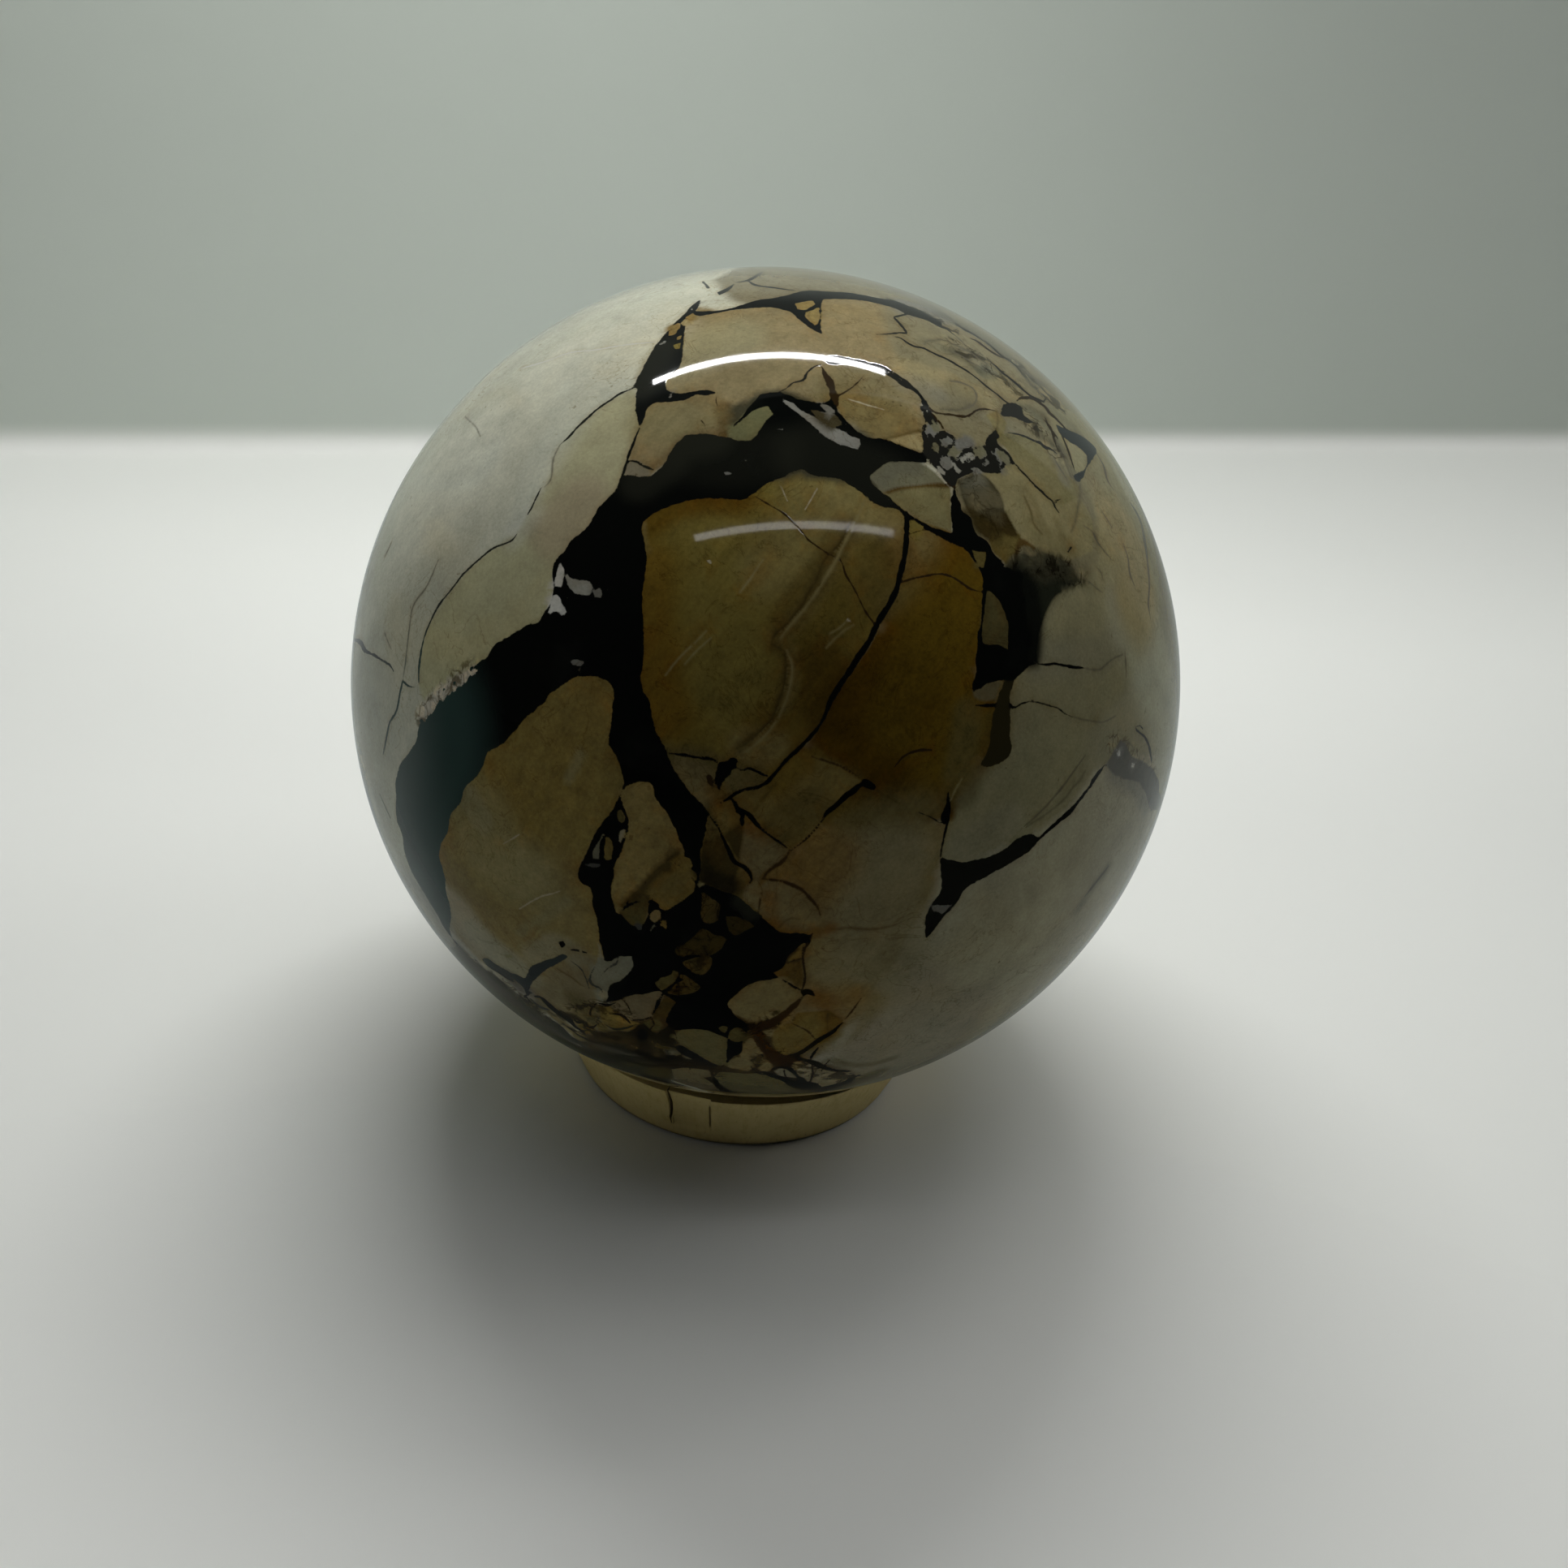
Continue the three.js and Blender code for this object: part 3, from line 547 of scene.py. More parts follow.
# Black bodies of the veins: ink, roughness, outline
BODIES = """
k 0.09 864,368 854,375 842,387 831,398 820,412 811,421 802,435 792,453 785,468 780,476 785,479 784,494 785,512 788,528
 793,517 798,504 803,499 819,496 836,495 847,493 857,487 875,487 884,484 875,481 862,481 852,482 836,485 820,481
 821,468 831,458 838,450 839,443 841,428 842,415 845,402 849,393 857,384 862,376
k 0.07 883,360 897,354 905,349 909,347 898,358 886,364
k 0.08 851,384 870,383 888,382 900,380 918,374 936,369 954,367 969,364 982,360 997,358 1018,359 1041,360 1061,363
 1076,366 1092,369 1104,371 1117,376 1138,385 1160,397 1160,402 1143,392 1125,388 1115,383 1102,379 1086,375 1069,371
 1051,369 1030,368 1015,369 1013,374 1013,389 1011,402 1013,412 1002,407 990,398 982,391 974,384 964,382 951,379
 936,379 921,380 903,382 888,385 870,388 861,389
k 0.1 760,602 752,610 738,624 730,639 720,653 703,667 697,678 688,686 683,693 680,707 681,726 676,744 669,754 664,766
 650,770 637,778 624,785 610,795 601,808 583,821 573,830 563,840 548,850 546,856 535,869 522,884 516,897 512,915
 502,928 493,943 488,961 488,981 489,1009 496,1030 499,1050 507,1073 516,1090 527,1108 540,1129 550,1147 563,1162
 578,1178 568,1168 558,1157 554,1141 556,1130 555,1119 550,1098 549,1083 545,1068 541,1050 544,1038 551,1025 555,1004
 567,989 573,971 586,958 596,943 602,928 618,918 632,902 642,890 657,878 670,867 678,856 693,845 708,836 721,835
 736,836 752,844 756,856 754,877 752,897 752,920 759,935 766,951 769,961 764,978 757,996 741,1013 732,1027 724,1047
 717,1062 712,1079 717,1088 726,1093 730,1116 736,1134 739,1159 743,1180 739,1205 747,1235 760,1233 775,1227 793,1225
 806,1223 814,1222 821,1227 834,1235 824,1249 820,1259 829,1268 842,1269 862,1268 880,1273 896,1281 896,1297 895,1311
 903,1302 913,1297 916,1283 921,1272 923,1265 918,1259 905,1251 900,1244 898,1236 908,1223 926,1212 946,1208 961,1205
 954,1199 961,1195 968,1186 969,1180 984,1167 990,1162 998,1162 1000,1152 984,1149 967,1149 951,1141 933,1124 918,1111
 903,1103 882,1096 867,1090 861,1093 862,1080 864,1068 865,1047 868,1032 871,1016 870,995 862,988 854,980 847,971
 839,960 829,945 821,929 816,919 808,904 803,884 800,866 796,857 790,840 792,822 793,797 793,769 791,743 793,723
 796,700 797,687 794,674 791,659 794,642 799,638 811,630 826,623 842,618 862,616 888,615 905,616 918,616 924,610
 933,604 946,595 964,589 977,582 990,579 997,584 1010,587 1025,588 1038,592 1048,598 1061,606 1071,615 1081,622
 1092,625 1102,626 1111,632 1114,639 1125,641 1138,652 1151,658 1166,667 1184,675 1194,681 1171,658 1150,651 1138,644
 1122,635 1112,628 1099,616 1086,606 1076,597 1071,588 1081,578 1092,570 1107,569 1125,569 1141,570 1148,559 1138,558
 1122,554 1104,547 1092,542 1074,540 1061,535 1051,527 1043,517 1034,507 1030,494 1024,487 1018,495 1000,495 984,493
 972,487 961,483 946,484 936,487 926,496 919,504 913,514 903,526 903,527 913,519 923,510 936,503 946,501 953,510
 944,519 936,532 926,542 913,544 898,540 882,536 862,535 844,537 834,545 825,558 819,570 812,578 801,586 793,586
 780,586 768,586
d 0.12 1015,443 1025,438 1041,440 1061,443 1076,447 1092,452 1103,458 1115,467 1125,476 1135,486 1142,497 1128,484
 1117,479 1109,475 1099,466 1089,460 1076,455 1050,449 1020,447
k 0.1 1176,600 1180,612 1184,622 1187,630 1194,634 1199,645 1201,652 1206,660 1214,664 1220,671 1223,679 1229,685
 1235,691 1238,698 1246,702 1254,704 1258,712 1259,726 1263,740 1265,755 1265,770 1271,785 1271,795 1266,803 1266,814
 1276,817 1279,818 1270,820 1262,826 1256,832 1250,838 1236,838 1225,839 1216,842 1208,847 1199,851 1198,845 1202,835
 1204,826 1203,815 1204,805 1206,790 1208,770 1210,750 1211,730 1211,712 1204,697 1198,688 1192,679 1182,673 1170,667
 1160,662 1160,655 1172,658 1171,640 1172,615
m 0.08 1236,838 1250,838 1248,845 1245,855 1245,885 1245,905 1246,928 1240,934 1232,940 1222,943 1212,944 1208,942
 1215,930 1219,918 1221,900 1223,885 1228,868 1231,855 1235,845
k 0.09 1159,1056 1174,1060 1188,1062 1202,1060 1220,1055 1238,1045 1253,1034 1268,1028 1279,1033 1284,1028 1304,1009
 1319,995 1337,973 1361,943 1341,975 1322,999 1304,1015 1285,1032 1266,1050 1243,1065 1220,1078 1202,1088 1189,1096
 1182,1108 1174,1119 1161,1131 1152,1144 1141,1156 1141,1129 1146,1116 1159,1098 1159,1078
k 0.06 1168,972 1171,985 1171,1000 1168,1014 1161,1014 1160,1010 1165,990
v 0.1 1381,912 1386,915 1390,925 1396,932 1404,936 1414,943 1422,950 1427,960 1428,975 1430,990 1425,998 1418,999
 1414,990 1411,977 1404,966 1396,961 1385,960 1374,955 1366,948 1362,943 1367,935 1373,925 1378,915
k 0.08 1061,960 1066,959 1080,968 1079,973 1070,972 1062,967
b 0.12 1013,449 1018,461 1025,474 1030,488 1033,500 1025,501 1023,488 1019,475 1013,461
d 0.1 1236,498 1245,497 1255,499 1260,503 1261,510 1268,516 1275,521 1270,523 1262,520 1255,517 1250,515 1242,514
 1237,514 1232,510 1233,505
u 0.1 1301,523 1312,528 1322,532 1334,538 1345,547 1351,555 1348,563 1342,572 1338,582 1334,591 1330,594 1325,592
 1323,587 1328,583 1333,577 1337,568 1338,562 1330,553 1320,546 1311,539 1304,531
d 0.1 1140,528 1148,534 1156,532 1164,531 1172,536 1182,540 1190,544 1200,548 1210,550 1214,549 1215,541 1219,536
 1225,531 1227,527 1229,534 1232,538 1228,541 1229,546 1236,552 1242,556 1246,562 1249,568 1252,573 1246,572 1240,573
 1235,576 1232,582 1224,583 1214,582 1206,580 1199,582 1190,585 1182,589 1179,592 1176,600 1172,600 1167,594 1160,586
 1153,578 1147,572 1141,568 1136,561 1138,552 1140,545 1137,538 1138,515 1136,505 1140,497 1144,502 1150,512 1154,520
 1150,530 1145,522 1142,518 1141,524
u 0.06 701,1178 692,1176 680,1181 664,1186 654,1192 650,1199 646,1209 645,1215 653,1216 656,1209 662,1204 671,1197
 682,1190 692,1185
g 0.06 594,1182 602,1181 608,1186 618,1192 627,1197 633,1203 632,1209 626,1205 615,1197 604,1191 597,1186
k 0.06 688,1161 694,1160 697,1164 692,1168
k 0.1 884,939 898,938 901,934 907,934 911,938 907,942 909,947 902,948 901,954 894,961 889,968 887,977 884,971 880,961
 882,951 884,945
b 0.06 870,954 876,955 879,963 879,970 874,968 870,961
k 0.06 908,996 914,998 921,1002 918,1008 917,1017 914,1019 911,1013 912,1005 906,1000
k 0.08 783,1273 789,1267 796,1268 801,1276 796,1282 786,1280
d 0.1 838,1288 850,1294 862,1301 875,1308 888,1314 876,1314 862,1309 848,1303 838,1298 831,1290
n 0.06 980,1301 990,1304 1000,1306 1006,1307 1012,1310 1019,1314 1028,1317 1046,1319 1052,1320 1040,1321 1028,1320
 1016,1318 1006,1315 998,1310 990,1307 982,1305
d 0.06 981,1329 988,1327 994,1331 995,1335 988,1335 982,1333
n 0.06 986,1223 990,1219 997,1219 1002,1222 1005,1228 1000,1227 996,1225 990,1228 987,1230
"""

# Light pieces inside or over the black bodies: colour, outline
PIECES = """
GREY 1158,541 1168,536 1174,544 1166,551 1160,549
C1_GREY 1168,553 1182,548 1186,557 1177,563 1167,561
GREY 1177,545 1191,541 1199,547 1190,552 1181,551
GREY 1158,562 1169,564 1175,572 1168,580 1160,573
GREY_LIGHT 1183,564 1194,556 1203,562 1195,571 1185,572
C1_GREY 1200,556 1211,551 1216,560 1207,567
GREY 1207,571 1216,564 1221,570 1212,578
GREY_LIGHT 1176,570 1181,577 1189,579 1182,585 1177,580
GREY 1193,576 1203,575 1209,580 1199,581
GREY 1146,525 1152,521 1156,531 1151,539 1146,533
C1_GREY 1149,545 1155,547 1158,555 1152,556
GREY 1220,552 1226,558 1224,566 1219,560
TAN 824,413 827,403 836,398 838,402 829,413
TAN_LIGHT 840,398 845,393 850,397 843,401
TAN 846,391 853,385 856,387 852,394
OLIVE_YELLOW 830,425 839,422 838,429 833,430
TAN 834,416 839,413 840,416 834,420
GREY 812,424 820,420 821,422 812,426
GREY_LIGHT 851,381 861,373 857,377 852,383
GREY 823,489 827,484 829,490 824,491
TAN 980,374 1002,370 1004,375 991,382 982,381
TAN 993,385 1009,379 1009,394 1005,401 993,389
WHITE 690,692 694,698 692,724 683,722 684,711
PALE_EDGE 519,886 524,872 534,860 546,850 560,840 575,830 584,822 588,826 577,836 566,846 552,856 540,866 530,878
 522,888
GREY_LIGHT 697,708 708,714 726,717 730,724 727,733 716,733 703,725 698,717
GREY 739,724 743,730 740,738 732,736 730,729
WHITE 683,733 688,734 692,744 698,754 693,759 687,754 676,756 678,749 679,744
GREY 703,813 711,814 721,815 717,819 704,818
FRAG_GREY_LIGHT 770,579 776,572 780,570 788,574 798,583 793,586 780,586 771,582
WEDGE_OLIVE 903,527 913,519 923,510 936,503 946,501 953,510 944,519 936,531 926,542 913,541 900,538
QUARTZ 963,493 972,495 990,507 1005,514 1023,523 1038,532 1048,538 1059,541 1058,554 1046,551 1030,546 1015,536
 1000,523 984,510 972,500
D2_BROWN 997,504 1015,508 1030,512 1038,522 1030,526 1015,519 1002,510
GREY 1009,498 1018,499 1025,503 1029,507 1023,509 1015,504
GREY 953,528 966,527 968,530 955,531
GREY 893,581 902,582 903,585 894,585
GREY 916,566 920,566 919,569 916,568
OLIVE_YELLOW 1123,643 1138,648 1130,656 1121,657
OLIVE_BROWN 1196,677 1205,679 1215,680 1214,690 1212,700 1208,699 1202,689
DEEP_OLIVE 1216,727 1223,731 1230,738 1235,748 1240,760 1242,775 1242,790 1242,801 1236,797 1226,795 1212,794 1210,788
 1212,765 1214,745
GREY 1149,1116 1173,1115 1161,1126 1150,1122
WHITE 1376,926 1380,926 1380,931 1377,931
WHITE 1394,941 1398,942 1397,946 1394,945
GREY 721,1064 739,1066 738,1069 722,1067
GREY 1226,553 1229,551 1231,560 1235,572 1232,580 1227,568
C1_GREY 1231,558 1236,556 1241,562 1245,569 1240,571 1234,564
GREY_LIGHT 1139,500 1142,502 1145,508 1143,511 1140,506
C1_GREY 1146,516 1150,515 1154,524 1157,530 1152,530
GREY 1140,532 1144,531 1145,540 1142,544
CREAM 1319,545 1325,548 1332,554 1339,562 1340,568 1336,578 1330,582 1324,576 1320,565 1318,553
GREY_LIGHT 1154,572 1160,577 1166,583 1163,586 1157,580
FRAG_OLIVE 761,999 766,998 770,1011 767,1015 762,1012
FRAG_PALE 765,1024 771,1022 769,1030 763,1039 763,1030
FRAG_GREY 742,1027 746,1028 741,1036 739,1045 738,1058 730,1058 730,1049 735,1038
FRAG_TAN 746,1032 751,1031 754,1038 754,1058 750,1060 744,1058 745,1042
FRAG_SMOKE 721,1066 728,1064 741,1065 739,1067 726,1068
TAN 768,974 777,966 787,964 800,964 805,973 807,981 814,991 821,1000 828,1012 833,1023 836,1033 841,1042 843,1049
 838,1056 828,1058 821,1065 811,1073 803,1081 796,1089 790,1097 782,1103 774,1111 769,1117 766,1128 759,1123 758,1117
 754,1109 752,1102 753,1091 755,1081 757,1071 760,1062 766,1050 771,1035 775,1020 774,1007 769,994 765,980
FRAG_BROWN 834,1052 828,1057 821,1065 811,1073 804,1081 796,1089 790,1097 782,1103 774,1111 768,1117 778,1112 788,1110
 799,1111 802,1107 805,1099 809,1091 816,1084 827,1080 840,1078 850,1080 858,1085 858,1076 853,1072 844,1071 836,1068
 831,1064 838,1056
FRAG_YELLOW 831,1063 841,1055 848,1058 853,1065 852,1069 845,1070 837,1067
FRAG_TAN 816,1083 827,1080 840,1079 849,1080 854,1086 856,1092 854,1100 848,1104 842,1109 834,1113 826,1118 820,1121
 812,1119 810,1113 805,1110 805,1100 809,1091
FRAG_OLIVE 765,1125 773,1118 782,1113 792,1110 800,1113 799,1120 798,1127 796,1134 790,1140 784,1141 779,1140 773,1135
 768,1130
FRAG_CREAM 801,1128 803,1122 808,1120 813,1123 814,1129 812,1134 806,1137 801,1133
FRAG_TAN 812,1138 815,1133 820,1133 822,1138 821,1145 816,1142 812,1141
FRAG_GREY 800,1146 805,1140 808,1139 806,1143 802,1148
FRAG_SMOKE 794,1157 799,1152 797,1156
FRAG_SMOKE 784,1142 790,1141 791,1145 787,1146
FRAG_BROWN 864,1099 870,1100 876,1106 883,1110 888,1116 886,1124 886,1132 880,1137 874,1140 868,1138 863,1131 862,1124
 864,1116 864,1106
FRAG_DEEP 893,1128 900,1129 908,1130 916,1133 924,1137 929,1141 922,1146 914,1150 908,1153 902,1150 898,1146 896,1138
FRAG_DEEP 865,1144 857,1151 850,1158 842,1164 834,1166 831,1170 833,1176 839,1179 850,1177 861,1177 873,1177 880,1175
 887,1170 893,1161 895,1157 888,1154 879,1151 870,1145
FRAG_BROWN 841,1186 850,1182 862,1179 872,1178 877,1180 876,1188 873,1195 868,1200 862,1201 854,1198 850,1194 843,1190
FRAG_OLIVE 807,1211 814,1206 823,1203 828,1200 829,1196 837,1197 836,1201 833,1206 829,1211 823,1216 815,1220 810,1217
FRAG_BROWN 836,1203 840,1200 846,1203 850,1206 842,1207
FRAG_BROWN 822,1223 828,1217 833,1212 841,1209 850,1207 859,1212 864,1217 860,1221 852,1224 842,1225 832,1226
FRAG_PINK 753,1239 760,1236 773,1232 778,1227 791,1225 801,1223 808,1221 814,1223 814,1228 809,1236 804,1246 800,1252
 791,1255 778,1255 769,1251 764,1245
FRAG_BROWN 806,1249 813,1241 819,1234 825,1231 832,1235 828,1242 822,1253 815,1251 810,1254
LENS_CREAM 896,1236 898,1242 903,1246 911,1250 919,1253 931,1256 938,1255 951,1254 960,1250 969,1244 979,1235 987,1230
 988,1225 983,1220 975,1216 969,1211 961,1206 951,1209 938,1209 928,1213 919,1216 910,1222 903,1228
FRAG_OLIVE 897,1274 902,1268 910,1266 917,1269 920,1276 915,1282 906,1284 899,1281
FRAG_OLIVE 886,1267 891,1264 897,1265 894,1273 888,1271
LENS_GREEN 832,1278 838,1273 846,1269 857,1268 869,1270 877,1274 887,1276 897,1280 895,1288 894,1300 895,1311 887,1311
 874,1306 859,1299 848,1292 841,1287 839,1282
FLAG_GREY 741,1183 750,1185 756,1182 762,1179 770,1178 779,1177 780,1186 778,1194 772,1202 765,1209 757,1211 752,1214
 749,1222 748,1230 742,1236 739,1228 738,1220 733,1212 729,1204 731,1196 736,1190
FRAG_PALE 741,1223 744,1222 746,1226 743,1229 740,1227
"""

